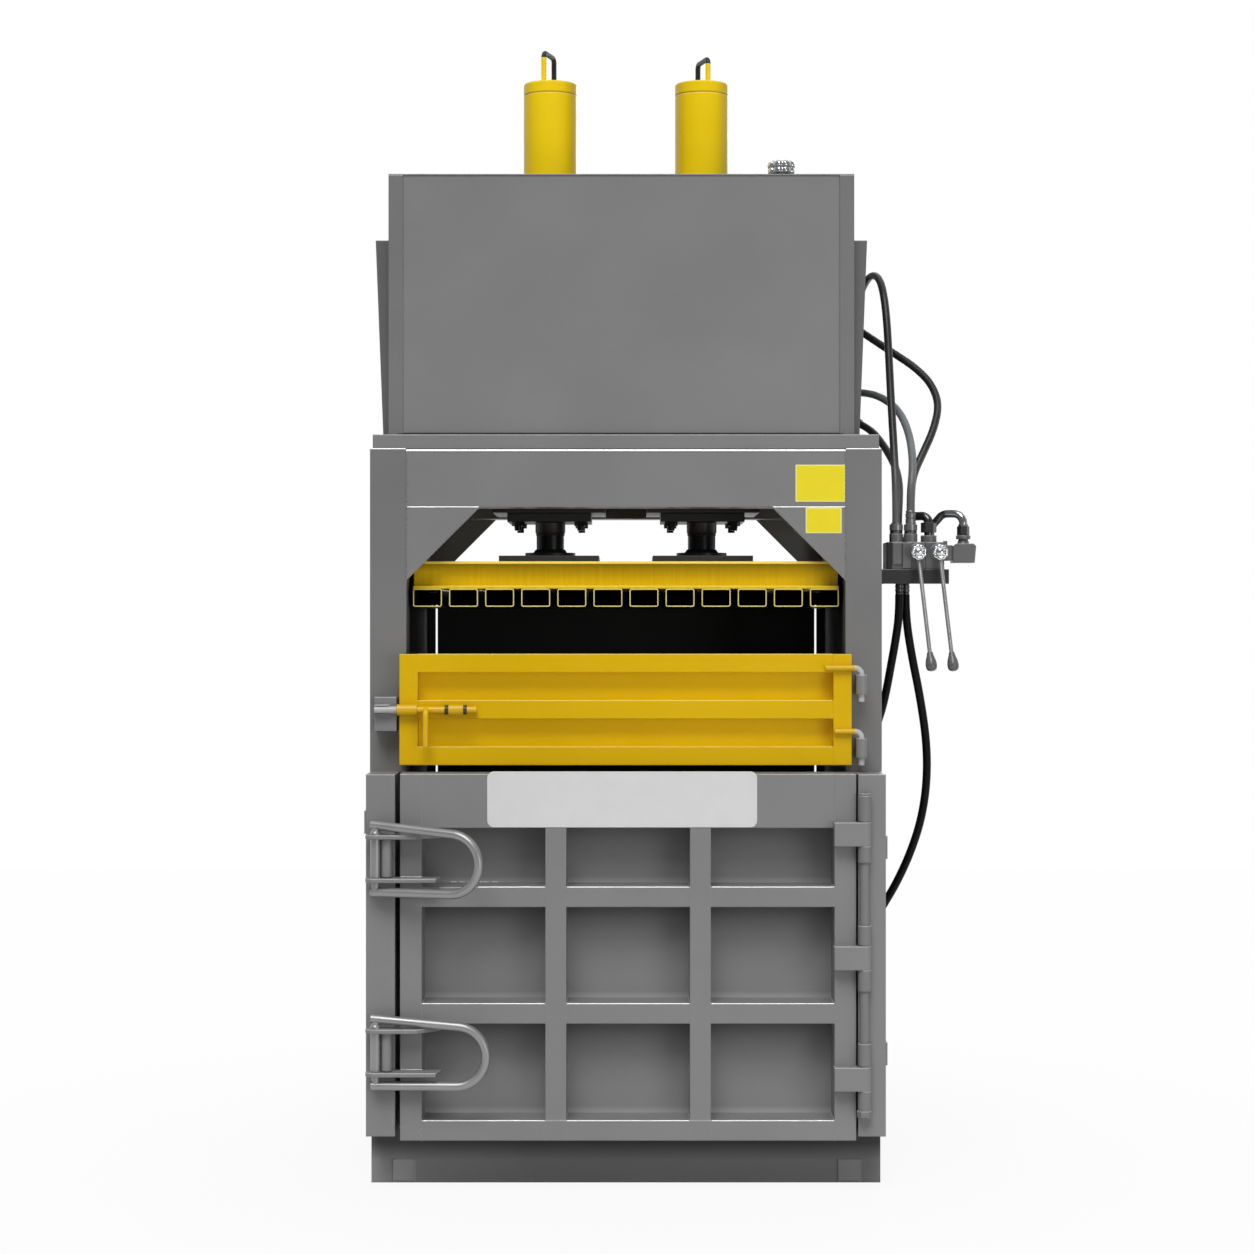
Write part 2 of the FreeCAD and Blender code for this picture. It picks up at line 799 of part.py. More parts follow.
# ---------------------------------------------------------------------------------------
# Main door: posts, door, hinge
# ---------------------------------------------------------------------------------------

def make_posts():
    """Closed box posts in front of the columns, with small tabs on their outer sides."""
    depth = ("post_front", "frame_front")
    height = ("post_bottom", "post_top")
    wall = "post_wall"
    left = box_tube("left_post", "Z", ("-post_outer", "left_post_inner"), depth, height, wall, wall)
    right = box_tube("right_post", "Z", ("right_post_inner", "post_outer"), depth, height, wall, wall)
    tabs = []
    for side, low in (("left", "left_tab_height"), ("right", "right_tab_height"), ("low", "low_tab_height")):
        x = ("post_outer", "post_outer + tab_reach")
        if side == "left":
            x = ("-post_outer - tab_reach", "-post_outer")
        tabs.append(box(f"post_tab_{side}", x, ("post_front + tab_reach", "post_front + tab_reach + tab_depth"),
                        (f"{low} - tab_height / 2", f"{low} + tab_height / 2")))
    whole = group("door_posts", [fuse("left_door_post", [left, tabs[0]]),
                                 fuse("right_door_post", [right, tabs[1], tabs[2]])])
    node("door_posts", whole)


def make_main_door():
    """A door of deep rectangular tubes welded into nine bays, closed by a sheet behind."""
    depth = ("post_front", "door_back")
    full = ("door_bottom", "door_top")
    wall = "door_bar_wall"
    left_stile = ("door_left", "door_left + door_stile")
    right_stile = ("door_right - door_stile", "door_right")
    bay = "((door_right - door_left - 2 * door_stile - 2 * door_rib) / 3)"
    first_rib = (f"door_left + door_stile + {bay}", f"door_left + door_stile + {bay} + door_rib")
    second_rib = (f"door_right - door_stile - {bay} - door_rib", f"door_right - door_stile - {bay}")
    inside = (left_stile[1], right_stile[0])
    under_top = "door_top - door_top_rail"
    bars = [
        box_tube("door_left_stile", "Z", left_stile, depth, full, wall, wall),
        box_tube("door_right_stile", "Z", right_stile, depth, full, wall, wall),
        box_tube("door_top_rail_tube", "X", inside, depth, (under_top, "door_top"), wall),
        box_tube("door_bottom_rail_tube", "X", inside, depth, ("door_bottom", "door_bottom + door_rail"), wall),
    ]
    for index, rib in enumerate((first_rib, second_rib)):
        bars.append(box_tube(f"door_rib_{index}", "Z", rib, depth, ("door_bottom + door_rail", under_top), wall))
    bays = ((inside[0], first_rib[0]), (first_rib[1], second_rib[0]), (second_rib[1], inside[1]))
    for row, low in enumerate(("door_low_rail_at", "door_high_rail_at")):
        for column, x in enumerate(bays):
            z = (low, f"{low} + door_rail")
            bars.append(box_tube(f"door_rail_{row}_{column}", "X", x, depth, z, wall))
    node("main_door_frame", group("main_door_frame", bars))
    sheet_x = ("door_left + door_sheet_inset", "door_right - door_sheet_inset")
    sheet_z = ("door_bottom + door_sheet_inset", "door_top - door_sheet_inset")
    node("main_door_sheet", box("door_sheet_piece", sheet_x, ("door_back", "door_back + door_sheet"), sheet_z))


STRAPS = ("low", "mid", "high")


def make_door_hinge():
    """Three straps on the door turn on one long pin held by knuckles on the right post."""
    axis = ("hinge_x", "hinge_y")
    bore = "pin_diameter + 2 * running_clearance"
    straps = []
    knuckles = []
    for level in STRAPS:
        low = f"strap_{level}"
        high = f"strap_{level} + strap_height"
        arm = box(f"strap_arm_{level}", ("hinge_x - strap_length", "hinge_x"),
                  ("hinge_y - knuckle_diameter / 2", "post_front"), (low, high))
        relief = box(f"strap_relief_{level}", ("hinge_x - hinge_inset", "hinge_x + 1"),
                     ("hinge_y + knuckle_diameter / 2", "post_front + 1"), (f"{low} - 1", f"{high} + 1"))
        eye = rod(f"strap_eye_{level}", "Z", axis, (low, high), "knuckle_diameter")
        hole = rod(f"strap_bore_{level}", "Z", axis, (f"{low} - 1", f"{high} + 1"), bore)
        straps.append(cut(f"strap_{level}", fuse(f"strap_blank_{level}", [arm, eye]), [relief, hole]))
        spans = {
            "over": (f"{high} + knuckle_play", f"{high} + knuckle_play + knuckle_over_{level}"),
            "under": (f"{low} - seat_clearance - knuckle_under_{level}", f"{low} - seat_clearance"),
        }
        for part, z in spans.items():
            name = f"knuckle_{part}_{level}"
            foot_x = ("hinge_x - knuckle_diameter / 2 + knuckle_inset", "hinge_x + knuckle_diameter / 2")
            foot = box(name + "_foot", foot_x, ("hinge_y", "post_front"), z)
            ring = rod(name + "_ring", "Z", axis, z, "knuckle_diameter")
            hole = rod(name + "_bore", "Z", axis, (f"{z[0]} - 1", f"{z[1]} + 1"), bore)
            knuckles.append(cut(name, fuse(name + "_blank", [foot, ring]), [hole]))
    node("door_straps", group("door_straps", straps))
    node("door_knuckles", group("door_knuckles", knuckles))

    pin_low = "strap_low - seat_clearance - knuckle_under_low"
    pin_high = "strap_high + strap_height + knuckle_play + knuckle_over_high"
    shank = rod("hinge_pin_shank", "Z", axis, (f"{pin_low} - pin_nut_height", pin_high), "pin_diameter")
    head = rod("hinge_pin_head", "Z", axis, (pin_high, f"{pin_high} + pin_head_height"), "pin_head_diameter")
    nut = hexagon("hinge_pin_nut", "Z", axis, (f"{pin_low} - pin_nut_height", pin_low), "pin_nut_across")
    node("door_hinge_pin", fuse("hinge_pin", [shank, head, nut]))


# ---------------------------------------------------------------------------------------
# Locks of the main door
# ---------------------------------------------------------------------------------------

LOCKS = ("upper", "lower")


def make_lock_plates():
    """Two plates of each lock stand out from the door's left stile and carry the lock pin."""
    back = "post_front"
    step = "post_front - lock_plate_back_gap"
    front = "lock_y - lock_plate_radius"
    axis = ("-lock_pin_at", "lock_y")
    plates = []
    for level in LOCKS:
        for part, slant, offset in (("low", "lock_plate_clip", "-lock_pitch"), ("top", "lock_plate_taper", "lock_pitch")):
            name = f"lock_plate_{level}_{part}"
            middle = f"{level}_lock + {offset} / 2"
            z = (f"{middle} - lock_plate / 2", f"{middle} + lock_plate / 2")
            outline = [("-lock_pin_at", front), (f"-lock_plate_end - {slant}", front), ("-lock_plate_end", back),
                       ("door_left", back), ("door_left", step), ("-lock_pin_at", step)]
            nose = rod(name + "_nose", "Z", axis, z, "2 * lock_plate_radius")
            hole = rod(name + "_bore", "Z", axis, (f"{z[0]} - 1", f"{z[1]} + 1"),
                       "lock_pin_diameter + 2 * running_clearance")
            plates.append(cut(name, fuse(name + "_blank", [plate(name + "_flat", outline, z), nose]), [hole]))
    return group("lock_plates", plates)


def make_lock_handle(level):
    """A bar bent to a long loop, welded to the two ends of the lock pin with its drum."""
    centre = f"{level}_lock"
    low_leg = "-handle_drop"
    middle = f"({low_leg}) + handle_radius"
    sweep = "180 - handle_slope"
    rise = "handle_reach + handle_radius * sin(handle_slope)"
    lower = rod(f"{level}_handle_lower", "X", ("0", low_leg), ("-handle_tail", "handle_reach"), "handle_bar")
    bend = arc_bar(f"{level}_handle_bend", "handle_radius", "handle_bar", sweep)
    from_below = FreeCAD.Rotation(Vector(0, 1, 0), 90)
    bend.Placement = FreeCAD.Placement(Vector(), from_below.multiply(bend.Placement.Rotation))
    place(bend, "handle_reach", "0", middle)
    upper = doc.addObject("Part::Cylinder", f"{level}_handle_upper")
    bind(upper, {"Radius": "handle_bar / 2", "Height": f"({rise} + handle_tail) / cos(handle_slope)"})
    upper.Placement = FreeCAD.Placement(Vector(), FreeCAD.Rotation(Vector(0, -1, 0), 90))
    bind(upper, {"Placement.Rotation.Angle": "90 - handle_slope"})
    place(upper, rise, "0", f"{middle} + handle_radius * cos(handle_slope)")
    pin_top = f"{middle} + handle_radius * cos(handle_slope) + ({rise}) * tan(handle_slope)"
    pin = rod(f"{level}_lock_shank", "Z", ("0", "0"), (low_leg, pin_top), "lock_pin_diameter")
    drum = rod(f"{level}_lock_drum", "Z", ("0", "0"),
               ("-lock_gap / 2 + seat_clearance", "lock_gap / 2 - lock_drum_play"), "lock_drum_diameter")
    whole = fuse(f"{level}_lock_bar", [lower, bend, upper, pin, drum])
    turn = f"{level}_handle_turn"
    whole.Placement = FreeCAD.Placement(Vector(), FreeCAD.Rotation(Vector(0, 0, -1), SIZES[turn]))
    bind(whole, {"Placement.Rotation.Angle": turn})
    return place(whole, "-lock_pin_at", "lock_y", centre)


def make_catches():
    """Round bars on webs in front of the left post, which the lock drums close behind."""
    catches = []
    for level in LOCKS:
        z = (f"{level}_lock - catch_height / 2", f"{level}_lock + catch_height / 2")
        bar = rod(f"{level}_catch_bar", "Z", ("-catch_at", "lock_y"), z, "catch_diameter")
        web = box(f"{level}_catch_web", ("-catch_at - catch_web / 2", "-catch_at + catch_web / 2"),
                  ("lock_y", "post_front"), z)
        catches.append(fuse(f"{level}_catch", [bar, web]))
    return group("catch_bars", catches)


# ---------------------------------------------------------------------------------------
# Feed door with its hook hinges and slide bolt
# ---------------------------------------------------------------------------------------

def make_feed_door():
    """A frame of square tube with a middle rail, closed by a sheet behind."""
    depth = ("feed_front", "feed_back")
    inside = ("-feed_left + feed_bar", "feed_right - feed_bar")
    full = ("feed_bottom", "feed_top")
    wall = "feed_bar_wall"
    bars = [
        box_tube("feed_left_stile", "Z", ("-feed_left", inside[0]), depth, full, wall, wall),
        box_tube("feed_right_stile", "Z", (inside[1], "feed_right"), depth, full, wall, wall),
    ]
    rails = {"bottom": "feed_bottom", "mid": "feed_mid - feed_bar / 2", "top": "feed_top - feed_bar"}
    for name, low in rails.items():
        bars.append(box_tube(f"feed_{name}_rail", "X", inside, depth, (low, f"{low} + feed_bar"), wall))
    node("feed_door_frame", group("feed_door_frame", bars))
    node("feed_door_sheet", box("feed_sheet_piece", ("-feed_left", "feed_right"),
                                ("feed_back", "feed_back + feed_sheet"), full))


def make_feed_hinges():
    """Bent pins welded across the door's front drop into sleeves on the right column."""
    pins = []
    sleeves = []
    drop = "feed_arm_drop"
    for level in LOCKS:
        arm_z = f"feed_{level}_arm"
        name = f"feed_{level}_pin"
        axis = ("feed_hinge_at", "feed_hinge_y")
        arm_x = (f"feed_{level}_arm_from", f"feed_hinge_at - {drop}")
        arm = rod(name + "_arm", "X", ("feed_hinge_y", arm_z), arm_x, "feed_pin")
        bend = place(arc_bar(name + "_bend", drop, "feed_pin", "90"), arm_x[1], "feed_hinge_y", f"{arm_z} - {drop}")
        sleeve_top = f"{arm_z} - {drop}"
        sleeve_low = f"{sleeve_top} - feed_sleeve_length"
        stem = rod(name + "_stem", "Z", axis, (f"{sleeve_low} - feed_pin_tail", sleeve_top), "feed_pin")
        pins.append(fuse(name, [arm, bend, stem]))

        z = (sleeve_low, f"{sleeve_top} - seat_clearance")
        ring = rod(f"feed_{level}_ring", "Z", axis, z, "feed_sleeve")
        block_x = ("feed_hinge_at - sleeve_block / 2", "feed_hinge_at + sleeve_block / 2")
        block = box(f"feed_{level}_block", block_x, ("feed_hinge_y", "frame_front"), z)
        hole = rod(f"feed_{level}_bore", "Z", axis, (f"{z[0]} - 1", f"{z[1]} + 1"),
                   "feed_pin + 2 * running_clearance")
        sleeves.append(cut(f"feed_{level}_sleeve", fuse(f"feed_{level}_sleeve_blank", [ring, block]), [hole]))
    node("feed_hinge_pins", group("feed_hinge_pins", pins))
    node("feed_hinge_sleeves", group("feed_hinge_sleeves", sleeves))


def make_feed_bolt():
    """Guides on the door, the bolt that slides in them and its open keeper on the column."""
    axis = ("bolt_y", "feed_mid")
    bore = "bolt_rod + 2 * running_clearance"
    guides = []
    for part in ("outer", "inner"):
        start = f"-guide_{part}_from"
        end = f"{start} + guide_{part}_length"
        name = f"bolt_guide_{part}"
        pieces = [rod(name + "_tube", "X", axis, (start, end), "guide_diameter")]
        low, high = start, end
        if part == "inner":
            low, high = f"{start} - guide_ring", f"{end} + guide_ring"
            pieces.append(rod(name + "_rings", "X", axis, (low, high), "guide_ring_diameter"))
        hole = rod(name + "_bore", "X", axis, (f"{low} - 1", f"{high} + 1"), bore)
        guides.append(cut(name, fuse(name + "_blank", pieces), [hole]))
    node("bolt_guides", group("bolt_guides", guides))

    shank = rod("bolt_shank", "X", axis, ("-bolt_tip", "-bolt_end"), "bolt_rod")
    bend = "bolt_handle_bend"
    turn = arc_bar("bolt_handle_turn", bend, "bolt_handle_bar", "90", turn=-90)
    place(turn, "-bolt_handle_at", "bolt_y", f"feed_mid - {bend}")
    grip = rod("bolt_handle_grip", "Z", ("-bolt_handle_at", f"bolt_y - {bend}"),
               ("feed_mid - bolt_handle_drop", f"feed_mid - {bend}"), "bolt_handle_bar")
    node("feed_bolt", fuse("bolt", [shank, turn, grip]))

    back = "feed_front - keeper_back_gap"
    left = "-bolt_tip - keeper_lap"
    right = "-bolt_tip + keeper_length"
    half = "bolt_rod / 2 + seat_clearance"
    block = box("keeper_block", (left, f"{left} + keeper_width"), (back, "frame_front"),
                ("keeper_low", "keeper_low + keeper_height"))
    saddle = rod("keeper_saddle", "X", axis, (left, right), f"2 * ({half} + keeper_wall)")
    bridge = box("keeper_bridge", (left, right), ("bolt_y", back),
                 (f"feed_mid - {half} - keeper_wall", f"feed_mid + {half} + keeper_wall"))
    run = (f"{left} - 1", f"{right} + keeper_mouth_run")
    groove = rod("keeper_groove", "X", axis, run, f"2 * ({half})")
    mouth = box("keeper_mouth", run, ("bolt_y - bolt_rod", "bolt_y"), (f"feed_mid - ({half})", f"feed_mid + {half}"))
    node("feed_keeper", cut("keeper", fuse("keeper_blank", [block, saddle, bridge]), [groove, mouth]))


# ---------------------------------------------------------------------------------------
# Platen and hydraulic cylinders
# ---------------------------------------------------------------------------------------

def make_platen():
    """Two channels tied by ribs, with a row of open tubes under them that presses the bale."""
    z = ("platen_channel_bottom", "platen_top")
    inner_z = ("platen_channel_bottom + platen_wall", "platen_top - platen_wall")
    x = ("-platen_half", "platen_half")
    inside = ("platen_front + platen_flange", "platen_rear - platen_flange")
    front_hollow = ("platen_front - 1", f"{inside[0]} - platen_wall")
    rear_hollow = (f"{inside[1]} + platen_wall", "platen_rear + 1")
    front = cut("platen_front_channel", box("platen_front_bar", x, ("platen_front", inside[0]), z),
                [box("platen_front_hollow", x, front_hollow, inner_z)])
    rear = cut("platen_rear_channel", box("platen_rear_bar", x, (inside[1], "platen_rear"), z),
               [box("platen_rear_hollow", x, rear_hollow, inner_z)])
    pieces = [front, rear]
    ribs = {
        "left_end": "-platen_half + platen_rib / 2",
        "left_outer": "-cylinder_at - pad_size / 4",
        "left_inner": "-cylinder_at + pad_size / 4",
        "right_inner": "cylinder_at - pad_size / 4",
        "right_outer": "cylinder_at + pad_size / 4",
        "right_end": "platen_half - platen_rib / 2",
    }
    for name, middle in ribs.items():
        rib_x = (f"{middle} - platen_rib / 2", f"{middle} + platen_rib / 2")
        pieces.append(box_tube(f"platen_rib_{name}", "Y", rib_x, inside, z, "platen_wall"))
    node("platen_frame", group("platen_frame", pieces))
    node("platen_tubes", make_bars("platen_tubes", "bar_first", ("platen_front", "platen_rear"),
                                   ("platen_bottom", "platen_channel_bottom")))
    pads = []
    for side, sign in (("left", "-1"), ("right", "1")):
        middle = f"{sign} * cylinder_at"
        pads.append(box(f"platen_pad_{side}", (f"{middle} - pad_size / 2", f"{middle} + pad_size / 2"),
                        ("cylinder_y - pad_size / 2", "cylinder_y + pad_size / 2"), ("platen_top", "pad_top")))
    node("platen_pads", group("platen_pads", pads))


SIDES = (("left", "-cylinder_at"), ("right", "cylinder_at"))


def pair(name, make):
    """Make the same sub-part for the left and the right cylinder, as separate solids."""
    return node(name, group(name, [make(f"{name}_{side}", x) for side, x in SIDES]))


def make_cylinders():
    """Tube, cap, gland, flange, mounting plate, rod, piston and foot of both cylinders."""
    bore = "cylinder_bore / 2"
    outer = "cylinder_diameter / 2"

    def tube(name, x):
        low, high = "mount_plate_bottom", "cylinder_top"
        return turned(name, [(bore, low), (outer, low), (outer, high), (bore, high)], x, "cylinder_y")

    def cap(name, x):
        """A cap as wide as the tube, with a groove where they meet."""
        neck = f"{outer} - cap_groove"
        outline = [("0", "cylinder_top"), (neck, "cylinder_top"), (neck, "cylinder_top + cap_groove"),
                   (outer, "cylinder_top + cap_groove"), (outer, "cap_top - cap_edge"),
                   (f"{outer} - cap_edge", "cap_top"), ("0", "cap_top")]
        return turned(name, outline, x, "cylinder_y")

    def flange(name, x):
        slab = box(name + "_slab", (f"{x} - flange_size / 2", f"{x} + flange_size / 2"),
                   ("cylinder_y - flange_size / 2", "cylinder_y + flange_size / 2"),
                   ("flange_bottom", "mount_plate_bottom"))
        bore_size = "gland_diameter + 2 * gland_seat_gap"
        return drilled(name, slab, x, bore_size, "flange_bottom", "mount_plate_bottom")

    def mount_plate(name, x):
        slab = box(name + "_slab", (f"{x} - mount_plate_size / 2", f"{x} + mount_plate_size / 2"),
                   ("cylinder_y - mount_plate_size / 2", "cylinder_y + mount_plate_size / 2"),
                   ("mount_plate_bottom", "mount_plate_top"))
        bore_size = "cylinder_diameter + flange_hole_play"
        return drilled(name, slab, x, bore_size, "mount_plate_bottom", "mount_plate_top")

    def drilled(name, slab, x, bore_size, low, high):
        """A plate with its middle bore and four bolt holes."""
        z = (f"{low} - 1", f"{high} + 1")
        holes = [rod(name + "_bore", "Z", (x, "cylinder_y"), z, bore_size)]
        for index, (across, deep) in enumerate(CORNERS):
            spot = bolt_place(x, across, deep)
            holes.append(rod(f"{name}_hole_{index}", "Z", spot, z, "flange_bolt + flange_hole_play"))
        return cut(name, slab, holes)

    def gland(name, x):
        rod_hole = "rod_diameter / 2 + running_clearance"
        neck = "gland_diameter / 2"
        lip = f"{neck} - gland_groove"
        head = f"{bore} - gland_seat_gap"
        low = "gland_bottom"
        shoulder = "mount_plate_bottom"
        high = f"{shoulder} + gland_head"
        outline = [(rod_hole, low), (lip, low), (lip, f"{low} + gland_lip"),
                   (neck, f"{low} + gland_lip + 2 * gland_groove"), (neck, shoulder), (head, shoulder),
                   (head, high), (rod_hole, high)]
        return turned(name, outline, x, "cylinder_y")

    def rod_piece(name, x):
        return rod(name, "Z", (x, "cylinder_y"), ("pad_top + foot_thickness", "rod_top"), "rod_diameter")

    def piston(name, x):
        return rod(name, "Z", (x, "cylinder_y"), ("rod_top", "rod_top + piston_height"),
                   "cylinder_bore - 2 * piston_clearance")

    def foot(name, x):
        """A disc on the pad with a weld cone up the rod."""
        inner = "rod_diameter / 2 + foot_seat_gap"
        rim = "foot_diameter / 2"
        face = "pad_top + foot_thickness"
        top = f"{face} + foot_flare"
        outline = [("0", "pad_top"), (rim, "pad_top"), (rim, face), ("foot_neck / 2", face),
                   (f"{inner} + foot_lip", top), (inner, top), (inner, face), ("0", face)]
        return turned(name, outline, x, "cylinder_y")

    pair("cylinder_tubes", tube)
    pair("cylinder_caps", cap)
    pair("cylinder_flanges", flange)
    pair("cylinder_mount_plates", mount_plate)
    pair("cylinder_glands", gland)
    pair("piston_rods", rod_piece)
    pair("pistons", piston)
    pair("rod_feet", foot)


CORNERS = ((-1, -1), (1, -1), (1, 1), (-1, 1))


def bolt_place(x, across, deep):
    return (f"{x} + {across} * bolt_spacing / 2", f"cylinder_y + {deep} * bolt_spacing / 2")


def make_flange_bolts():
    """Bolts through each cylinder's flange and mounting plate, with nuts below."""
    bolts = []
    for side, x in SIDES:
        for index, (across, deep) in enumerate(CORNERS):
            spot = bolt_place(x, across, deep)
            name = f"flange_bolt_{side}_{index}"
            nut_low = "flange_bottom - flange_nut_height"
            shank = rod(name + "_shank", "Z", spot, (f"{nut_low} - flange_bolt_tail", "mount_plate_top"), "flange_bolt")
            nut = hexagon(name + "_nut", "Z", spot, (nut_low, "flange_bottom"), "flange_nut")
            head_z = ("mount_plate_top", "mount_plate_top + flange_nut_height")
            head = hexagon(name + "_head", "Z", spot, head_z, "flange_head")
            bolts.append(fuse(name, [shank, nut, head]))
    return group("flange_bolts", bolts)


def make_lifting_loops():
    """A bar bent to a square loop on each cylinder cap, turned a little out of the front view."""
    loops = []
    for side, sign, turn in (("left", "-1", "loop_turn"), ("right", "1", "180 - loop_turn")):
        name = f"loop_{side}"
        top = f"loop_height_{side}"
        bend_z = f"{top} - loop_corner"
        inside = "loop_half - loop_corner"
        pieces = [rod(name + "_top", "X", ("0", top), (f"-({inside})", inside), "loop_bar")]
        for end, way, facing in (("near", "1", 0), ("far", "-1", 180)):
            pieces.append(rod(f"{name}_{end}_leg", "Z", (f"{way} * loop_half", "0"), ("0", bend_z), "loop_bar"))
            corner = arc_bar(f"{name}_{end}_corner", "loop_corner", "loop_bar", "90", turn=facing)
            pieces.append(place(corner, f"{way} * ({inside})", "0", bend_z))
        loop = fuse(name, pieces)
        loop.Placement = FreeCAD.Placement(Vector(), FreeCAD.Rotation(Vector(0, 0, 1), number(turn)))
        bind(loop, {"Placement.Rotation.Angle": turn})
        loops.append(place(loop, f"{sign} * (cylinder_at + loop_offset)", "cylinder_y", "cap_top"))
    return group("lifting_loops", loops)


# ---------------------------------------------------------------------------------------
# Deck, cabinet and power unit
# ---------------------------------------------------------------------------------------

def make_deck():
    """A ring of channel on the columns, with a plate that the power unit stands on."""
    ring = channel_bars("deck_ring", ("-deck_half_width", "deck_half_width"),
                        ("-deck_half_depth", "deck_half_depth"), ("frame_top", "deck_top"), "deck_flange", "deck_wall")
    slab_x = ("-deck_half_width + deck_flange", "deck_half_width - deck_flange")
    slab_y = ("-deck_half_depth + deck_flange", "deck_half_depth - deck_flange")
    slab = box("deck_slab", slab_x, slab_y, ("deck_top - deck_wall", "deck_top"))
    holes = [rod(f"deck_hole_{side}", "Z", (x, "cylinder_y"), ("frame_top", "deck_top + 1"), "deck_hole")
             for side, x in SIDES]
    return group("deck", ring + [cut("deck_plate", slab, holes)])


def make_cabinet():
    """Corner angles with a front, a rear and two side sheets, and a cover with holes."""
    left = "-cabinet_left"
    right = "cabinet_right"
    foot = "deck_top"
    angles = []
    for part, corner_x, turn_x in (("left", left, "1"), ("right", right, "-1")):
        for end, corner_y, turn_y in (("front", "cabinet_front", "1"), ("rear", "cabinet_rear", "-1")):
            leg_x, wall_x = (f"{corner_x} + {turn_x} * {size}" for size in ("cabinet_angle", "cabinet_sheet"))
            leg_y, wall_y = (f"{corner_y} + {turn_y} * {size}" for size in ("cabinet_angle", "cabinet_sheet"))
            outline = [(corner_x, corner_y), (leg_x, corner_y), (leg_x, wall_y), (wall_x, wall_y),
                       (wall_x, leg_y), (corner_x, leg_y)]
            angles.append(plate(f"cabinet_angle_{part}_{end}", outline, (foot, "cabinet_top")))
    node("cabinet_posts", group("cabinet_posts", angles))

    inside_x = (f"{left} + cabinet_sheet", f"{right} - cabinet_sheet")
    panel_z = ("deck_top + cabinet_foot_gap", "cabinet_top")
    front_y = ("cabinet_front + cabinet_sheet", "cabinet_front + 2 * cabinet_sheet")
    rear_y = ("cabinet_rear - 2 * cabinet_sheet", "cabinet_rear - cabinet_sheet")
    node("cabinet_front_panel", box("front_panel", inside_x, front_y, panel_z))
    node("cabinet_rear_panel", box("rear_panel", inside_x, rear_y, panel_z))
    cover = box("cabinet_cover", (left, right), ("cabinet_front", "cabinet_rear"), ("cabinet_top", "cover_top"))
    through = ("cabinet_top - 1", "cover_top + 1")
    holes = [rod(f"cover_hole_{side}", "Z", (x, "cylinder_y"), through, "deck_hole") for side, x in SIDES]
    holes.append(rod("cover_neck_hole", "Z", ("breather_at", "breather_y"), through,
                     "neck_diameter + neck_hole_play"))
    node("cabinet_cover", cut("cabinet_cover_sheet", cover, holes))
    sides = [make_side_panel("left", left, "-1"), make_side_panel("right", right, "1")]
    node("cabinet_side_panels", group("cabinet_side_panels", sides))


def make_side_panel(part, edge, out):
    """A side sheet with a wedge-shaped hood folded out of it, open at the top and behind."""
    inner = f"{edge} - {out} * 2 * cabinet_sheet"
    outer = f"{edge} - {out} * cabinet_sheet"
    x = (inner, outer) if out == "1" else (outer, inner)
    flat_y = ("cabinet_front + 2 * cabinet_sheet", "cabinet_rear - 2 * cabinet_sheet")
    flat = box(f"side_panel_{part}_flat", x, flat_y, ("deck_top", "cabinet_top"))
    foot = f"{edge} + {out} * hood_foot_reach"
    top = f"{edge} + {out} * hood_top_reach"
    thick = f"{out} * cabinet_sheet"
    wedge = [(edge, "deck_top"), (foot, "deck_top"), (top, "hood_top"), (edge, "hood_top")]
    hollow = [(edge, "deck_top + cabinet_sheet"), (f"{foot} - {thick}", "deck_top + cabinet_sheet"),
              (f"{top} - {thick}", "hood_top + 1"), (edge, "hood_top + 1")]
    y = ("cabinet_front + cabinet_angle", "cabinet_front + cabinet_angle + hood_length")
    shell = plate(f"hood_{part}_shell", wedge, y, "XZ")
    room = plate(f"hood_{part}_room", hollow, (f"{y[0]} + cabinet_sheet", f"{y[1]} + 1"), "XZ")
    hood = cut(f"hood_{part}", shell, [room])
    link = (outer, edge) if out == "1" else (edge, outer)
    lip = box(f"hood_{part}_lip", link, y, ("deck_top", "hood_top"))
    return fuse(f"side_panel_{part}", [flat, hood, lip])


def make_power_unit():
    make_tank()
    make_breather_cap()
    make_motor()


def make_tank():
    """The oil tank, with a filler neck that comes up through the cabinet's cover."""
    x = ("tank_from", "tank_from + tank_width")
    y = ("tank_front", "tank_front + tank_length")
    spot = ("breather_at", "breather_y")
    shell = box_tube("tank_shell", "Z", x, y, ("deck_top", "tank_top"), "tank_wall", cap="tank_wall")
    neck = rod("tank_neck", "Z", spot, ("tank_top - tank_wall / 2", "neck_top"), "neck_diameter")
    rim = rod("tank_neck_rim", "Z", spot, ("neck_top - neck_flange_height", "neck_top"), "neck_flange")
    bore = rod("tank_neck_bore", "Z", spot, ("tank_top - 2 * tank_wall", "neck_top + 1"), "neck_bore")
    node("oil_tank", cut("tank", fuse("tank_blank", [shell, neck, rim]), [bore]))


def make_breather_cap():
    """A lobed cap with a skirt that drops into the filler neck."""
    low = "neck_top + seat_clearance"
    high = f"{low} + breather_height"
    edge = "breather_diameter / 2"
    skirt = "neck_bore / 2 - neck_hole_play / 2"
    outline = [("0", f"{low} - breather_skirt"), (skirt, f"{low} - breather_skirt"), (skirt, low), (edge, low),
               (edge, f"{high} - breather_brow - cap_edge"), (f"{edge} - breather_dome / 3", f"{high} - cap_edge"),
               (f"{edge} - breather_dome", high), ("0", high)]
    cap = turned("breather_blank", outline, "breather_at", "breather_y")
    scallops = []
    for index in range(SIZES["breather_lobes"]):
        turn = f"360 * {index} / breather_lobes"
        reach = f"({edge} + breather_dome / 3)"
        spot = (f"breather_at + {reach} * cos({turn})", f"breather_y + {reach} * sin({turn})")
        z = (f"{low} + neck_flange_height", f"{high} + 1")
        scallops.append(rod(f"breather_scallop_{index}", "Z", spot, z, "breather_diameter / 6"))
    node("breather_cap", cut("breather", cap, scallops))


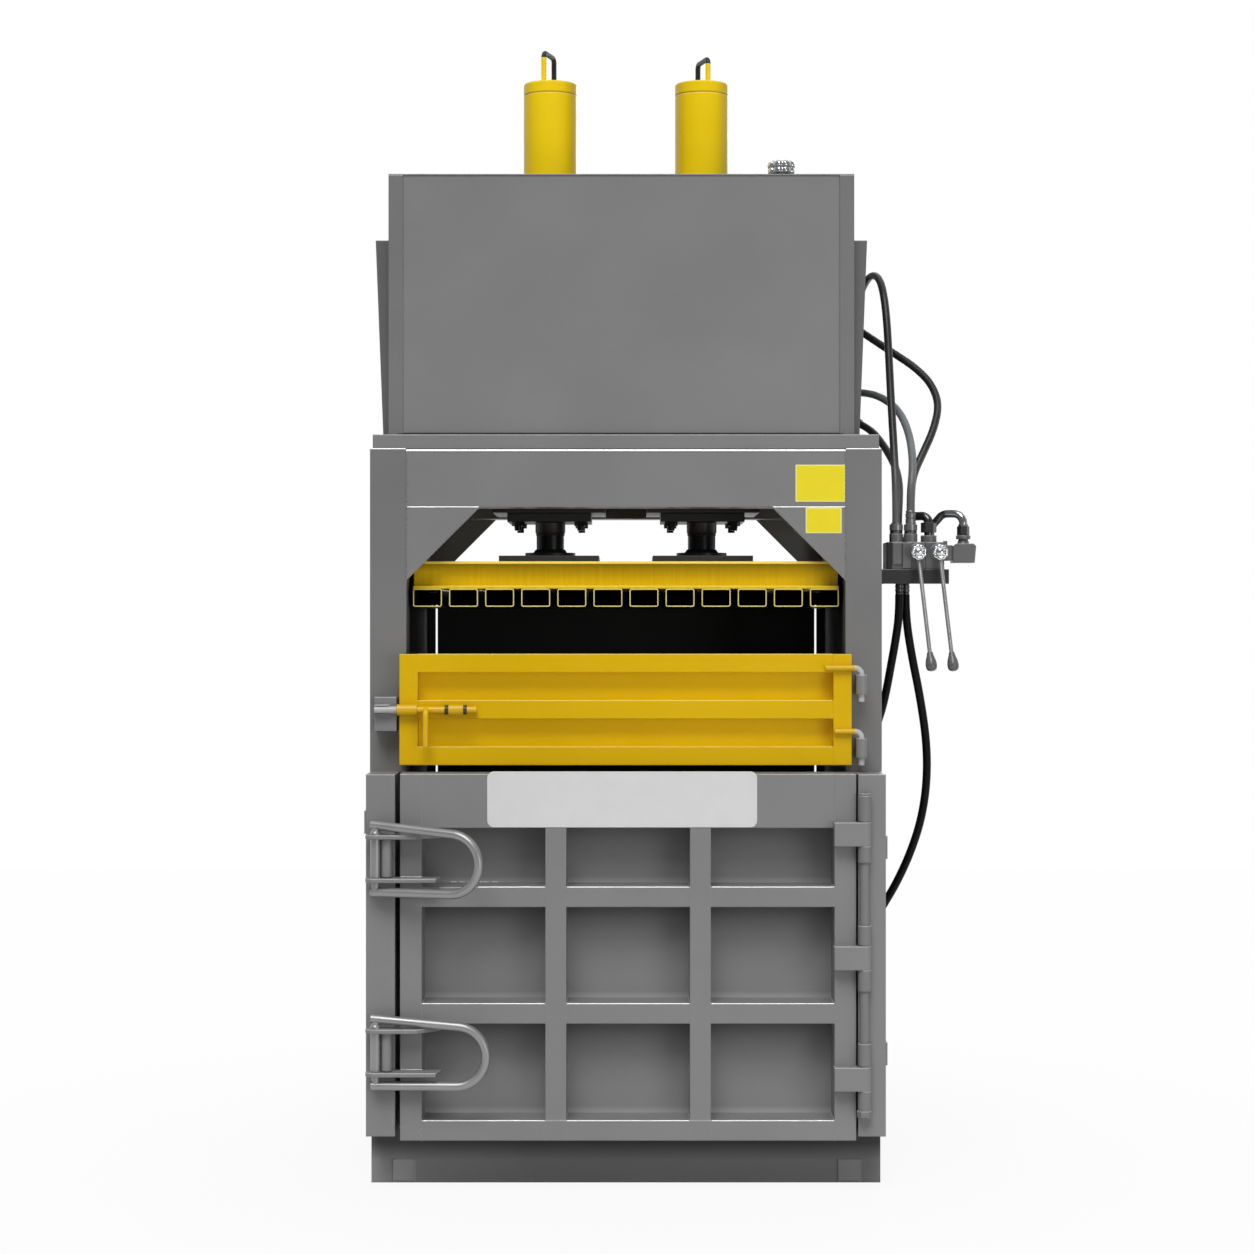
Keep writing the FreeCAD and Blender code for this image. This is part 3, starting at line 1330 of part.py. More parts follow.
def make_motor():
    """The electric motor on its foot, and the gear pump that is bolted to its bell."""
    x, z = "motor_at", "deck_top + motor_foot + motor_diameter / 2"
    half = "motor_diameter / 2"
    body = rod("motor_body", "Y", (x, z), ("motor_front", "motor_rear"), "motor_diameter")
    fan_cover = rod("motor_fan_cover", "Y", (x, z), ("motor_front - motor_fan_length", "motor_front"),
                    "motor_diameter - 2 * motor_fan_step")
    feet = box("motor_feet", (f"{x} - {half} + motor_foot_inset", f"{x} + {half} - motor_foot_inset"),
               ("motor_front + motor_fan_length", "motor_rear - motor_fan_length"), ("deck_top", z))
    terminal = box("motor_terminal", (f"{x} - terminal_size / 2", f"{x} + terminal_size / 2"),
                   ("motor_front + terminal_setback", "motor_front + terminal_setback + terminal_size"),
                   (z, f"{z} + {half} + terminal_rise"))
    node("motor", fuse("motor_whole", [body, fan_cover, feet, terminal]))

    bell_end = "motor_rear + pump_bell_length"
    bell = rod("pump_bell_part", "Y", (x, z), ("motor_rear", bell_end), "pump_bell")
    block = box("pump_block", (f"{x} - pump_body / 2", f"{x} + pump_body / 2"), (bell_end, f"{bell_end} + pump_length"),
                (f"{z} - pump_body / 2", f"{z} + pump_body / 2"))
    node("pump", fuse("pump_whole", [bell, block]))


# ---------------------------------------------------------------------------------------
# Hand valve with its levers
# ---------------------------------------------------------------------------------------

LEVERS = ("inner", "outer")
FRONT_PORTS = ("pressure_hose_a", "pressure_hose_c")


def make_bracket():
    """An angle with a foot, welded to the side of the right front column."""
    x = ("frame_side", "frame_side + bracket_reach")
    y = ("frame_front + bracket_setback", "frame_front + bracket_setback + bracket_depth")
    z = ("bracket_top - bracket_height", "bracket_top")
    top = box("bracket_top_plate", x, y, ("bracket_top - bracket_plate", "bracket_top"))
    lip = box("bracket_lip", x, (y[0], f"{y[0]} + bracket_plate"), z)
    foot = box("bracket_foot", ("frame_side", "frame_side + bracket_plate"), y, z)
    node("valve_bracket", fuse("bracket", [top, lip, foot]))


def make_valve():
    """A bank of valve slices with spool caps, hose ports and a port block on its right end."""
    y = ("valve_front", "valve_rear")
    pitch = "(valve_width + valve_groove) / valve_slices"
    pieces = [box("valve_core", ("valve_from + valve_groove", "valve_right - valve_groove"),
                  ("valve_front + valve_groove", "valve_rear - valve_groove"),
                  ("bracket_top", "valve_top - valve_groove"))]
    for index in range(SIZES["valve_slices"]):
        low = f"valve_from + {index} * {pitch}"
        x = (low, f"{low} + {pitch} - valve_groove")
        pieces.append(box(f"valve_slice_{index}", x, y, ("bracket_top", "valve_top")))
    for lever in LEVERS:
        pieces += make_lever_seat(lever)
    for name in FRONT_PORTS:
        end = ROUTES[name][-1]
        pieces.append(rod(f"{name}_port", "Z", end[:2], ("valve_top", "valve_top + port_boss_height"), "port_boss"))
    pieces.append(rod("elbow_port", "Z", ("elbow_at", "valve_mid"), ("valve_top", "elbow_foot"), "elbow_boss"))
    node("valve_body", fuse("valve", pieces + make_port_block()))


def make_lever_seat(lever):
    """A round spool cap on the valve's front, with two ears and the pin that a lever turns on."""
    middle = f"lever_{lever}_at"
    cap = rod(f"spool_cap_{lever}", "Y", (middle, "lever_z"), ("valve_front - spool_cap_height", "valve_front"),
              "spool_cap")
    near = "lever_eye_width / 2 + seat_clearance"
    far = f"{near} + lever_ear"
    y = ("lever_y - lever_pin", "valve_front")
    z = ("lever_z - lever_pin", "lever_z + lever_pin")
    pin_x = (f"{middle} - ({far} + lever_pin_proud)", f"{middle} + {far} + lever_pin_proud")
    return [
        cap,
        box(f"lever_ear_{lever}_left", (f"{middle} - ({far})", f"{middle} - ({near})"), y, z),
        box(f"lever_ear_{lever}_right", (f"{middle} + {near}", f"{middle} + {far}"), y, z),
        rod(f"lever_pin_{lever}", "X", ("lever_y", "lever_z"), pin_x, "lever_pin"),
    ]


def make_port_block():
    """A cast block on a neck, with a rimmed throat on top for the bent pipe."""
    low = "port_top - port_block_height"
    right = "port_from + port_block_width"
    outline = [("port_from", low), (f"{right} - port_taper", low), (right, "port_top - port_corner"),
               (f"{right} - port_corner", "port_top"), ("port_from + port_corner", "port_top"),
               ("port_from", "port_top - port_corner")]
    block_y = ("valve_mid - port_block_depth / 2", "valve_mid + port_block_depth / 2")
    neck_y = ("valve_mid - port_neck_depth / 2", "valve_mid + port_neck_depth / 2")
    neck_top = "valve_top - port_neck_drop"
    rim_low = "port_top + port_throat_height"
    throat = [("0", "port_top"), ("port_foot / 2", "port_top"), ("port_throat / 2", rim_low), ("port_rim / 2", rim_low),
              ("port_rim / 2", "port_rim_top"), ("0", "port_rim_top")]
    plug_z = (neck_top, f"{neck_top} + plug_height")
    return [
        plate("port_block", outline, block_y, "XZ"),
        box("port_neck", ("valve_right", "port_from"), neck_y, (f"{neck_top} - port_neck_height", neck_top)),
        turned("port_throat_ring", throat, "port_at", "valve_mid"),
        rod("port_plug", "Z", ("valve_right + plug_inset", "valve_mid"), plug_z, "plug_diameter"),
    ]


def make_lever(lever):
    """An eye on its pin, a thin bar that leans out and forwards, and a pear-shaped knob."""
    bar = rod(f"{lever}_lever_bar", "Z", ("0", "0"), ("-lever_length", "-lever_pin"), "lever_bar")
    outline = [("0", "-lever_length - knob_length")]
    for radius_share, length_share in KNOB_SHAPE:
        outline.append((f"{radius_share} * knob_diameter / 2", f"-lever_length - {length_share} * knob_length"))
    knob = turned(f"{lever}_knob", outline + [("0", "-lever_length")])
    leaned = []
    for part, piece in (("bar", bar), ("knob", knob)):
        forward = leaning(f"{lever}_{part}_forward", piece, Vector(-1, 0, 0), "lever_forward")
        outward = leaning(f"{lever}_{part}_outward", forward, Vector(0, -1, 0), "lever_outward")
        leaned.append(place(outward, f"lever_{lever}_at", "lever_y", "lever_z"))
    middle = f"lever_{lever}_at"
    axis = ("lever_y", "lever_z")
    eye_x = (f"{middle} - lever_eye_width / 2", f"{middle} + lever_eye_width / 2")
    eye = rod(f"{lever}_lever_eye", "X", axis, eye_x, "lever_eye")
    head_back = "lever_y - lever_eye / 2 + running_clearance + lever_ear / 6"
    head = rod(f"{lever}_lever_head", "Y", (middle, "lever_z"), (f"{head_back} - lever_head_height", head_back),
               "lever_head")
    hole = rod(f"{lever}_lever_bore", "X", axis, (f"{middle} - lever_eye_width", f"{middle} + lever_eye_width"),
               "lever_pin + 2 * running_clearance")
    ring = cut(f"{lever}_lever_ring", eye, [hole])
    steel = fuse(f"{lever}_lever_steel", [ring, head, leaned[0]])
    return group(f"{lever}_lever", [steel, leaned[1]])


# The pear-shaped knob from its tip up: shares of its radius and of its length.
KNOB_SHAPE = ((0.6, 0.96), (1.0, 0.75), (0.96, 0.55), (0.6, 0.15), (0.5, 0))


def leaning(name, piece, axis, angle):
    """The same piece leaned about an axis by an angle from the sheet."""
    whole = group(name, [piece])
    whole.Placement = FreeCAD.Placement(Vector(), FreeCAD.Rotation(axis, SIZES[angle]))
    return bind(whole, {"Placement.Rotation.Angle": angle})


# ---------------------------------------------------------------------------------------
# Hoses and their fittings
# ---------------------------------------------------------------------------------------

# Routes of the hoses, point by point in millimetres. The first four run from the cabinet's
# right side down to the valve, and the last two from under the valve to the side wall.
ROUTES = {
    "pressure_hose_a": [(686, 60, 2500), (696, -5, 2532), (713, -78, 2548), (727, -148, 2526), (734, -202, 2472),
                        (739, -236, 2392), (742, -262, 2290), (745, -305, 2140), (748, -358, 2000),
                        (748, -405, 1900), (748, -405, 1816)],
    "pressure_hose_b": [(686, 40, 2398), (722, -10, 2365), (776, -55, 2322), (832, -100, 2278), (876, -145, 2225),
                        (892, -195, 2160), (870, -245, 2085), (836, -285, 2018), (804, -322, 1955),
                        (796, -340, 1900), (796, -340, 1850)],
    "pressure_hose_c": [(682, -10, 2212), (708, -75, 2204), (745, -145, 2180), (779, -215, 2138), (797, -285, 2072),
                        (800, -345, 2005), (795, -386, 1950), (788, -402, 1900), (788, -402, 1850)],
    "pressure_hose_d": [(680, -40, 2118), (706, -92, 2098), (730, -148, 2060), (750, -200, 2018), (764, -248, 1976),
                        (769, -290, 1930), (765, -322, 1882), (760, -340, 1830), (760, -340, 1788)],
    "drain_hose_short": [(757, -400, 1618), (757, -400, 1562), (748, -388, 1490), (738, -360, 1420),
                         (729, -328, 1352), (717, -298, 1288), (699, -272, 1232), (690, -262, 1192),
                         (690, -262, 1150)],
    "drain_hose_long": [(777, -378, 1618), (777, -378, 1560), (793, -374, 1455), (820, -360, 1330),
                        (840, -340, 1205), (843, -320, 1095), (830, -300, 990), (802, -280, 895),
                        (766, -260, 810), (731, -241, 745), (704, -224, 700), (694, -216, 655),
                        (694, -216, 612)],
}


def bent_tube(name, route, diameter):
    """A round tube along straight runs joined by tangent arcs, each as wide as fits."""
    points = [Vector(*point) for point in route]
    runs = [(after - before).Length for before, after in zip(points, points[1:])]
    edges = []
    radii = []
    start = points[0]
    for index in range(1, len(points) - 1):
        corner = points[index]
        back = (points[index - 1] - corner).normalize()
        on = (points[index + 1] - corner).normalize()
        half_turn = (math.pi - back.getAngle(on)) / 2
        trim = 0.45 * min(runs[index - 1], runs[index])
        radius = trim / math.tan(half_turn)
        radii.append(round(radius))
        entry = corner + back * trim
        leave = corner + on * trim
        middle = corner + (back + on).normalize() * radius * (1 / math.cos(half_turn) - 1)
        edges.append(Part.LineSegment(start, entry).toShape())
        edges.append(Part.Arc(entry, middle, leave).toShape())
        start = leave
    edges.append(Part.LineSegment(start, points[-1]).toShape())
    path = Part.Wire(edges)
    ring = Part.Wire([Part.Circle(points[0], points[1] - points[0], diameter / 2).toShape()])
    piece = doc.addObject("Part::Feature", name)
    piece.Shape = path.makePipeShell([ring], True, False)
    expected = path.Length * math.pi * diameter ** 2 / 4
    print(name, "length", round(path.Length), "smallest radius", min(radii),
          "volume ratio", round(piece.Shape.Volume / expected, 4))
    return piece


def make_hoses():
    for name, route in ROUTES.items():
        diameter = sheet.pressure_hose if name.startswith("pressure") else sheet.drain_hose
        node(name, bent_tube(name, route, diameter))


def round_bar(name, start, end, diameter):
    """A round piece between two points in space."""
    along_it = end - start
    piece = doc.addObject("Part::Feature", name)
    piece.Shape = Part.makeCylinder(diameter / 2, along_it.Length, start, along_it)
    return piece


def make_fittings():
    """Ferrules and elbows at the hose ends, and the two bent pipes over the valve."""
    pieces = []
    for name, route in ROUTES.items():
        if name.startswith("pressure"):
            pieces.append(make_side_fitting(name, route))
            pieces.append(make_valve_fitting(name, Vector(*route[-1])))
        else:
            pieces += make_drain_fittings(name, route)
    pieces.append(make_bent_pipe())
    return group("hose_fittings", pieces)


def make_side_fitting(name, route):
    """The ferrule in line with a hose's first run, and its elbow out of the cabinet's side."""
    first, second = Vector(*route[0]), Vector(*route[1])
    side = number("cabinet_right - cabinet_sheet")
    elbow = first + (first - second).normalize() * sheet.ferrule_length
    outer = elbow + Vector(sheet.side_elbow_length, 0, 0)
    return fuse(f"{name}_side_fitting", [
        round_bar(f"{name}_ferrule", first, elbow, sheet.ferrule),
        round_bar(f"{name}_elbow", Vector(side, elbow.y, elbow.z), outer, sheet.ferrule)])


def make_valve_fitting(name, end):
    """The ferrule over a port: with a collar in front, and with a nut behind."""
    spot = (end.x, end.y)
    foot = "valve_top"
    if name in FRONT_PORTS:
        foot = "valve_top + port_boss_height"
        low = f"{foot} + collar_lift"
        seat = rod(f"{name}_collar", "Z", spot, (low, f"{low} + collar_height"), "collar")
    else:
        seat = hexagon(f"{name}_nut", "Z", spot, (foot, f"{foot} + fitting_nut_height"), "fitting_nut")
    ferrule = round_bar(f"{name}_valve_ferrule", Vector(end.x, end.y, number(foot)), end, sheet.ferrule)
    parts = [ferrule, seat]
    if name == "pressure_hose_b":
        parts += make_elbow(end)
    return fuse(f"{name}_valve_fitting", parts)


def make_elbow(end):
    """A thick elbow from a hose's ferrule over to its own port, and the nut at its foot."""
    x, y, z = number("elbow_at"), number("valve_mid"), end.z - sheet.elbow_drop
    route = [(end.x, end.y, z), (x, y, z), (x, y, number("elbow_foot"))]
    low = "elbow_foot + elbow_nut_lift"
    nut = hexagon("elbow_nut_piece", "Z", ("elbow_at", "valve_mid"), (low, f"{low} + elbow_nut_height"), "elbow_nut")
    return [bent_tube("elbow_pipe", route, sheet.elbow_tube), nut]


def make_bent_pipe():
    """A steel pipe from the valve's rear corner over and down into the port block."""
    x = [number(text) for text in ("valve_right - pipe_inset", "port_at - pipe_lead", "port_at")]
    y = [number(text) for text in ("valve_rear - pipe_setback", "(valve_rear - pipe_setback + valve_mid) / 2", "valve_mid")]
    z = [number(text) for text in ("valve_top", "valve_top + pipe_rise", "valve_top + pipe_top", "port_rim_top")]
    route = [(x[0], y[0], z[0]), (x[0], y[0], z[1]), (x[1], y[1], z[2]), (x[2], y[2], z[2]), (x[2], y[2], z[3])]
    nut = hexagon("pipe_nut_piece", "Z", ("port_at", "valve_mid"),
                  ("port_rim_top", "port_rim_top + pipe_nut_height"), "pipe_nut")
    return fuse("bent_pipe", [bent_tube("bent_pipe_tube", route, sheet.pipe_tube), nut])


def make_drain_fittings(name, route):
    """A ferrule under the bracket, and a ferrule with an elbow into the side wall."""
    first, last = Vector(*route[0]), Vector(*route[-1])
    under = Vector(first.x, first.y, number("bracket_top - bracket_plate"))
    elbow = last - Vector(0, 0, sheet.ferrule_length)
    foot = elbow - Vector(0, 0, sheet.side_elbow_length)
    wall = Vector(number("column_inner + wall_thickness"), elbow.y, elbow.z)
    lower = fuse(f"{name}_wall_fitting", [
        round_bar(f"{name}_ferrule", last, foot, sheet.ferrule),
        round_bar(f"{name}_elbow", wall, elbow, sheet.wall_elbow)])
    return [round_bar(f"{name}_top_ferrule", first, under, sheet.drain_ferrule), lower]


# ---------------------------------------------------------------------------------------
# The whole machine
# ---------------------------------------------------------------------------------------

node("base_frame", make_base())
node("chamber_floor", make_bars("chamber_floor", "bar_first", ("frame_front", "frame_rear - floor_rear_gap"),
                                ("base_height", "floor_top")))
make_columns()
make_beams()
node("gussets", make_gussets())
make_walls()
make_posts()
make_main_door()
make_door_hinge()
node("lock_plates", make_lock_plates())
for level in LOCKS:
    node(f"{level}_lock_handle", make_lock_handle(level))
node("catch_bars", make_catches())
make_feed_door()
make_feed_hinges()
make_feed_bolt()
make_platen()
make_cylinders()
node("flange_bolts", make_flange_bolts())
node("lifting_loops", make_lifting_loops())
node("deck", make_deck())
make_cabinet()
make_power_unit()
make_bracket()
make_valve()
for lever in LEVERS:
    node(f"{lever}_lever", make_lever(lever))
make_hoses()
node("hose_fittings", make_fittings())
doc.recompute()

# ---------------------------------------------------------------------------------------
# Checks and export
# ---------------------------------------------------------------------------------------

failed = [piece.Name for piece in doc.Objects if {"Invalid", "Error"} & set(piece.State)]
if failed:
    raise RuntimeError("objects that failed to build: " + ", ".join(failed))
for name, piece in NODES.items():
    shape = piece.Shape
    if shape.isNull() or not shape.isValid() or not shape.Solids:
        raise RuntimeError("no valid solid in " + name)

os.makedirs("parts", exist_ok=True)
for name, piece in NODES.items():
    piece.Shape.exportStep(f"parts/{name}.step")
    limits = piece.Shape.BoundBox
    size = f"{limits.XLength:.0f} x {limits.YLength:.0f} x {limits.ZLength:.0f}"
    print(f"{name}: {len(piece.Shape.Solids)} solids, {size}")
print(len(NODES), "sub-parts")
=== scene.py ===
# %% [markdown]
# # A recycling baler
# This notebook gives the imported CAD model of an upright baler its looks. The CAD parts keep their
# shape and place. What is added here is the finish of every surface, the hoses as smooth curves and
# the small things that a plain solid lacks, such as weld beads, ferrules, nuts and blank stickers.

import math

import bmesh
import bpy
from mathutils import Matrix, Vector


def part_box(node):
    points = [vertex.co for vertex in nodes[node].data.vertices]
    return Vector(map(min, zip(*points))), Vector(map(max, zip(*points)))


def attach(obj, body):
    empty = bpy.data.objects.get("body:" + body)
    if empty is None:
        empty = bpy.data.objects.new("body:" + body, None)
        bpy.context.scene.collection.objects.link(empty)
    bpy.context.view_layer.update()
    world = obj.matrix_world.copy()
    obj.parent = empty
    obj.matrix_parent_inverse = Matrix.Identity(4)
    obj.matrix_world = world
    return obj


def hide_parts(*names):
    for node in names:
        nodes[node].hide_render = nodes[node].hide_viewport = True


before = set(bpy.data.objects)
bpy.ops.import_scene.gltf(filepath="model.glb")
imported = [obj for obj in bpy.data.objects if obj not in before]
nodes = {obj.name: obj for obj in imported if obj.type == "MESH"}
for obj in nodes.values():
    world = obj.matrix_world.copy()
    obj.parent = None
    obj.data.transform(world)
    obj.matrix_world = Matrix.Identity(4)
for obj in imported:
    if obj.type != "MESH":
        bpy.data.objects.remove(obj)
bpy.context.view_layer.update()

# %% [markdown]
# ## Colours and nodes
# Colours are written as sRGB hex values, as a paint chart gives them, while a shader wants linear
# light. One function turns the first into the second. A second function adds a node with its
# settings and its links in one line, so that a material reads from its texture down to its shader.
# Two more save lines that would repeat: a new material with an empty tree, and a new object that
# is linked to the scene. A noise texture seldom leaves the span from 0.3 to 0.7, so the Map Range
# nodes that follow one start from that span.

# %% Small helpers
noise_span = {"From Min": 0.3, "From Max": 0.7}


def linear(hex_colour):
    """An sRGB hex colour as linear red, green, blue and alpha."""
    channels = [int(hex_colour[i:i + 2], 16) / 255 for i in (1, 3, 5)]
    return [*(c / 12.92 if c <= 0.04045 else ((c + 0.055) / 1.055) ** 2.4 for c in channels), 1.0]


def add(tree, kind, inputs=None, **settings):
    """One new node: settings are its own properties, inputs fill its sockets with values or links."""
    node = tree.nodes.new(kind)
    for name, value in settings.items():
        setattr(node, name, value)
    for key, value in (inputs or {}).items():
        if isinstance(value, bpy.types.NodeSocket):
            tree.links.new(value, node.inputs[key])
        else:
            node.inputs[key].default_value = value
    return node


def blank_material(name):
    """A new material, its empty tree, and the Object coordinates that its patterns follow."""
    material = bpy.data.materials.new(name)
    material.use_nodes = True
    tree = material.node_tree
    tree.nodes.clear()
    return material, tree, add(tree, "ShaderNodeTexCoord").outputs["Object"]


def in_scene(name, data):
    """A new object with the data, linked to the scene."""
    thing = bpy.data.objects.new(name, data)
    bpy.context.scene.collection.objects.link(thing)
    return thing


print("middle grey", [round(v, 3) for v in linear("#808080")])

# %% [markdown]
# ## Camera
# The photograph was taken from the front with a long lens, at about half the machine's height, so
# that the uprights stay upright. The camera stands 7.3 m in front of the columns and looks level,
# which keeps vertical lines parallel without any lens shift.

# %% Camera
photo_width, focal_pixels, sensor_width = 1254, 2650, 36
lens = bpy.data.cameras.new("camera")
lens.sensor_width = sensor_width
lens.lens = focal_pixels / photo_width * lens.sensor_width
camera = in_scene("camera", lens)
eye = (0.003, -7.74, 1.528)
level_look = (math.radians(90), 0, 0)
camera.location, camera.rotation_euler = eye, level_look
bpy.context.scene.camera = camera
bpy.context.scene.view_settings.view_transform = "Standard"
print("lens", round(lens.lens, 2), "mm")

# %% [markdown]
# ## Studio
# The background of the photograph is plain white. The floor and the world show white to the camera
# and to reflections, and only a part of the floor's shade is kept, so that the shadow stays faint.
# The room in front of the machine was dim, so reflections see the white fade out on that side,
# which gives bright metal its contrast. To all other rays the world is a dim grey sky, and the lamps
# do the lighting.

# %% World
world = bpy.data.worlds.new("studio_air")
bpy.context.scene.world = world
world.use_nodes = True
sky = world.node_tree
sky.nodes.clear()
rays = add(sky, "ShaderNodeLightPath")
look = add(sky, "ShaderNodeTexCoord")
way = add(sky, "ShaderNodeSeparateXYZ", {0: look.outputs["Generated"]})
dim_room, ambient = 0.22, 0.22
backdrop = add(sky, "ShaderNodeMapRange", {"Value": way.outputs["Y"], "From Min": -0.35, "From Max": 0.25,
                                           "To Min": dim_room, "To Max": 1.0})
clear = add(sky, "ShaderNodeMath", {0: rays.outputs["Is Camera Ray"], 1: rays.outputs["Is Transmission Ray"]},
            operation="MAXIMUM")
mirrored = add(sky, "ShaderNodeMix", {"Factor": rays.outputs["Is Glossy Ray"], 2: ambient,
                                      3: backdrop.outputs[0]}, data_type="FLOAT")
strength = add(sky, "ShaderNodeMix", {"Factor": clear.outputs[0], 2: mirrored.outputs[0], 3: 1.0},
               data_type="FLOAT")
air = add(sky, "ShaderNodeBackground", {"Color": linear("#ffffff"), "Strength": strength.outputs[0]})
add(sky, "ShaderNodeOutputWorld", {"Surface": air.outputs[0]})
print("dim room", dim_room, "ambient", ambient)

# %% Floor
def white_floor():
    """White paper: full white to the camera, with a twelfth of its own shade close to the machine."""
    near, far, near_white = 0.8, 2.4, 0.92
    material, tree, place = blank_material("studio_floor")
    rays = add(tree, "ShaderNodeLightPath")
    seen = add(tree, "ShaderNodeMath", {0: rays.outputs["Is Camera Ray"], 1: rays.outputs["Is Glossy Ray"]},
               operation="MAXIMUM")
    away = add(tree, "ShaderNodeVectorMath", {0: place}, operation="LENGTH")
    cover = add(tree, "ShaderNodeMapRange", {"Value": away.outputs["Value"], "From Min": near,
                                             "From Max": far, "To Min": near_white, "To Max": 1.0})
    share = add(tree, "ShaderNodeMath", {0: seen.outputs[0], 1: cover.outputs[0]}, operation="MULTIPLY")
    paper = add(tree, "ShaderNodeBsdfDiffuse", {"Color": linear("#d8d8d8")})
    white = add(tree, "ShaderNodeEmission", {"Color": linear("#fefefe"), "Strength": 1.0})
    mix = add(tree, "ShaderNodeMixShader", {0: share.outputs[0], 1: paper.outputs[0], 2: white.outputs[0]})
    add(tree, "ShaderNodeOutputMaterial", {"Surface": mix.outputs[0]})
    return material


half = 9.0
sheet = bpy.data.meshes.new("floor")
corners = [(-half, -half, 0), (half, -half, 0), (half, half, 0), (-half, half, 0)]
sheet.from_pydata(corners, [], [(0, 1, 2, 3)])
sheet.materials.append(white_floor())
floor = in_scene("floor", sheet)
print("floor", 2 * half, "m wide")

# %% Lamps
def softbox(name, place, aim, size, power):
    """A square area lamp at place that faces aim."""
    lamp = bpy.data.lights.new(name, "AREA")
    lamp.shape = "SQUARE"
    lamp.size = size
    lamp.energy = power
    holder = in_scene(name, lamp)
    holder.location = place
    holder.rotation_euler = (Vector(aim) - Vector(place)).to_track_quat("-Z", "Y").to_euler()


def high_light(name, direction, strength, spread):
    """Light as even as from a far ceiling of lamps, that comes from the given direction."""
    lamp = bpy.data.lights.new(name, "SUN")
    lamp.energy = strength
    lamp.angle = math.radians(spread)
    in_scene(name, lamp).rotation_euler = Vector(direction).to_track_quat("Z", "Y").to_euler()


high_light("ceiling_lamps", direction=(-0.12, -1.0, 1.35), strength=2.25, spread=36)
softbox("side_lamp", place=(3.6, -5.6, 1.6), aim=(0, -0.3, 1.2), size=2.4, power=60)
softbox("back_lamp", place=(1.5, 6.5, 3.6), aim=(0, 0.3, 1.6), size=3.0, power=120)
print("lamps", len(bpy.data.lights))

# %% [markdown]
# ## Enamel
# The frame is welded from tubes and sheet and sprayed with a one-coat enamel. Such paint is
# dielectric with an IOR near 1.5, a roughness of about 0.4 and a faint orange peel, whose bumps
# are 2 to 3 mm across. They are drawn at 5 mm here, because finer ones would not show. The paint
# pulls thin at every sharp edge and is rubbed a little lighter there, and the edges that look up
# get a painted highlight on top of that, which gives the light lines along the tubes. The Bevel node
# rounds those edges for the light, without touching the CAD mesh.

# %% Sprayed enamel
def enamel(name, colour, edge_colour, roughness=0.42, mirror=0.4, streaks=0.0, shade=None):
    """Sprayed paint on steel; shade takes the tree, the place and the colour, and returns a colour."""
    material, tree, place = blank_material(name)

    # Broad cloudiness from the spray gun's passes, about 400 mm across.
    passes = add(tree, "ShaderNodeTexNoise", {"Vector": place, "Scale": 2.5, "Detail": 3.0})
    cloud = add(tree, "ShaderNodeMapRange", {"Value": passes.outputs["Fac"], **noise_span,
                                             "To Min": 0.955, "To Max": 1.045})
    paint = add(tree, "ShaderNodeVectorMath", {0: linear(colour)[:3], 3: cloud.outputs[0]}, operation="SCALE")
    paint = paint.outputs[0]

    # Soft vertical runs, 12 mm apart, where the coat was brushed or has run.
    if streaks:
        stretch = add(tree, "ShaderNodeMapping", {"Vector": place, "Scale": (80.0, 80.0, 3.0)})
        run = add(tree, "ShaderNodeTexNoise", {"Vector": stretch.outputs[0], "Scale": 1.0, "Detail": 2.0})
        run = add(tree, "ShaderNodeMapRange", {"Value": run.outputs["Fac"], "From Min": 0.35,
                                               "From Max": 0.65, "To Min": 1.0 - streaks,
                                               "To Max": 1.0 + streaks})
        paint = add(tree, "ShaderNodeVectorMath", {0: paint, 3: run.outputs[0]}, operation="SCALE").outputs[0]

    # Rubbed edges and painted highlights: the rounded normal leaves the flat one only close to an
    # edge, where the paint is a little lighter from wear, and the edges that look up are painted much
    # lighter still, as a painted highlight of the light from above.
    rounded = add(tree, "ShaderNodeBevel", {"Radius": 0.005}, samples=6)
    flat = add(tree, "ShaderNodeNewGeometry")
    agree = add(tree, "ShaderNodeVectorMath", {0: rounded.outputs[0], 1: flat.outputs["True Normal"]},
                operation="DOT_PRODUCT")
    edge = add(tree, "ShaderNodeMapRange", {"Value": agree.outputs["Value"], "From Min": 0.985,
                                            "From Max": 0.82, "To Min": 0.0, "To Max": 1.0})
    slope = add(tree, "ShaderNodeSeparateXYZ", {0: rounded.outputs[0]})
    upward = add(tree, "ShaderNodeMapRange", {"Value": slope.outputs["Z"], "From Min": 0.15, "From Max": 0.5,
                                              "To Min": 0.10, "To Max": 0.85})
    wear_and_highlight = add(tree, "ShaderNodeMath", {0: edge.outputs[0], 1: upward.outputs[0]}, operation="MULTIPLY")
    paint = add(tree, "ShaderNodeMix", {"Factor": wear_and_highlight.outputs[0], 6: paint, 7: linear(edge_colour)},
                data_type="RGBA").outputs[2]
    if shade:
        paint = shade(tree, place, paint)

    # Orange peel and a gloss that changes a little with it.
    peel = add(tree, "ShaderNodeTexNoise", {"Vector": place, "Scale": 200.0, "Detail": 2.0})
    bump = add(tree, "ShaderNodeBump", {"Height": peel.outputs["Fac"], "Strength": 0.12, "Distance": 0.001,
                                        "Normal": rounded.outputs[0]})
    gloss = add(tree, "ShaderNodeMapRange", {"Value": passes.outputs["Fac"], **noise_span,
                                             "To Min": roughness * 0.86, "To Max": roughness * 1.14})
    skin = add(tree, "ShaderNodeBsdfPrincipled", {"Base Color": paint, "Roughness": gloss.outputs[0],
                                                  "IOR": 1.5, "Specular IOR Level": mirror,
                                                  "Normal": bump.outputs[0]})
    add(tree, "ShaderNodeOutputMaterial", {"Surface": skin.outputs[0]})
    return material
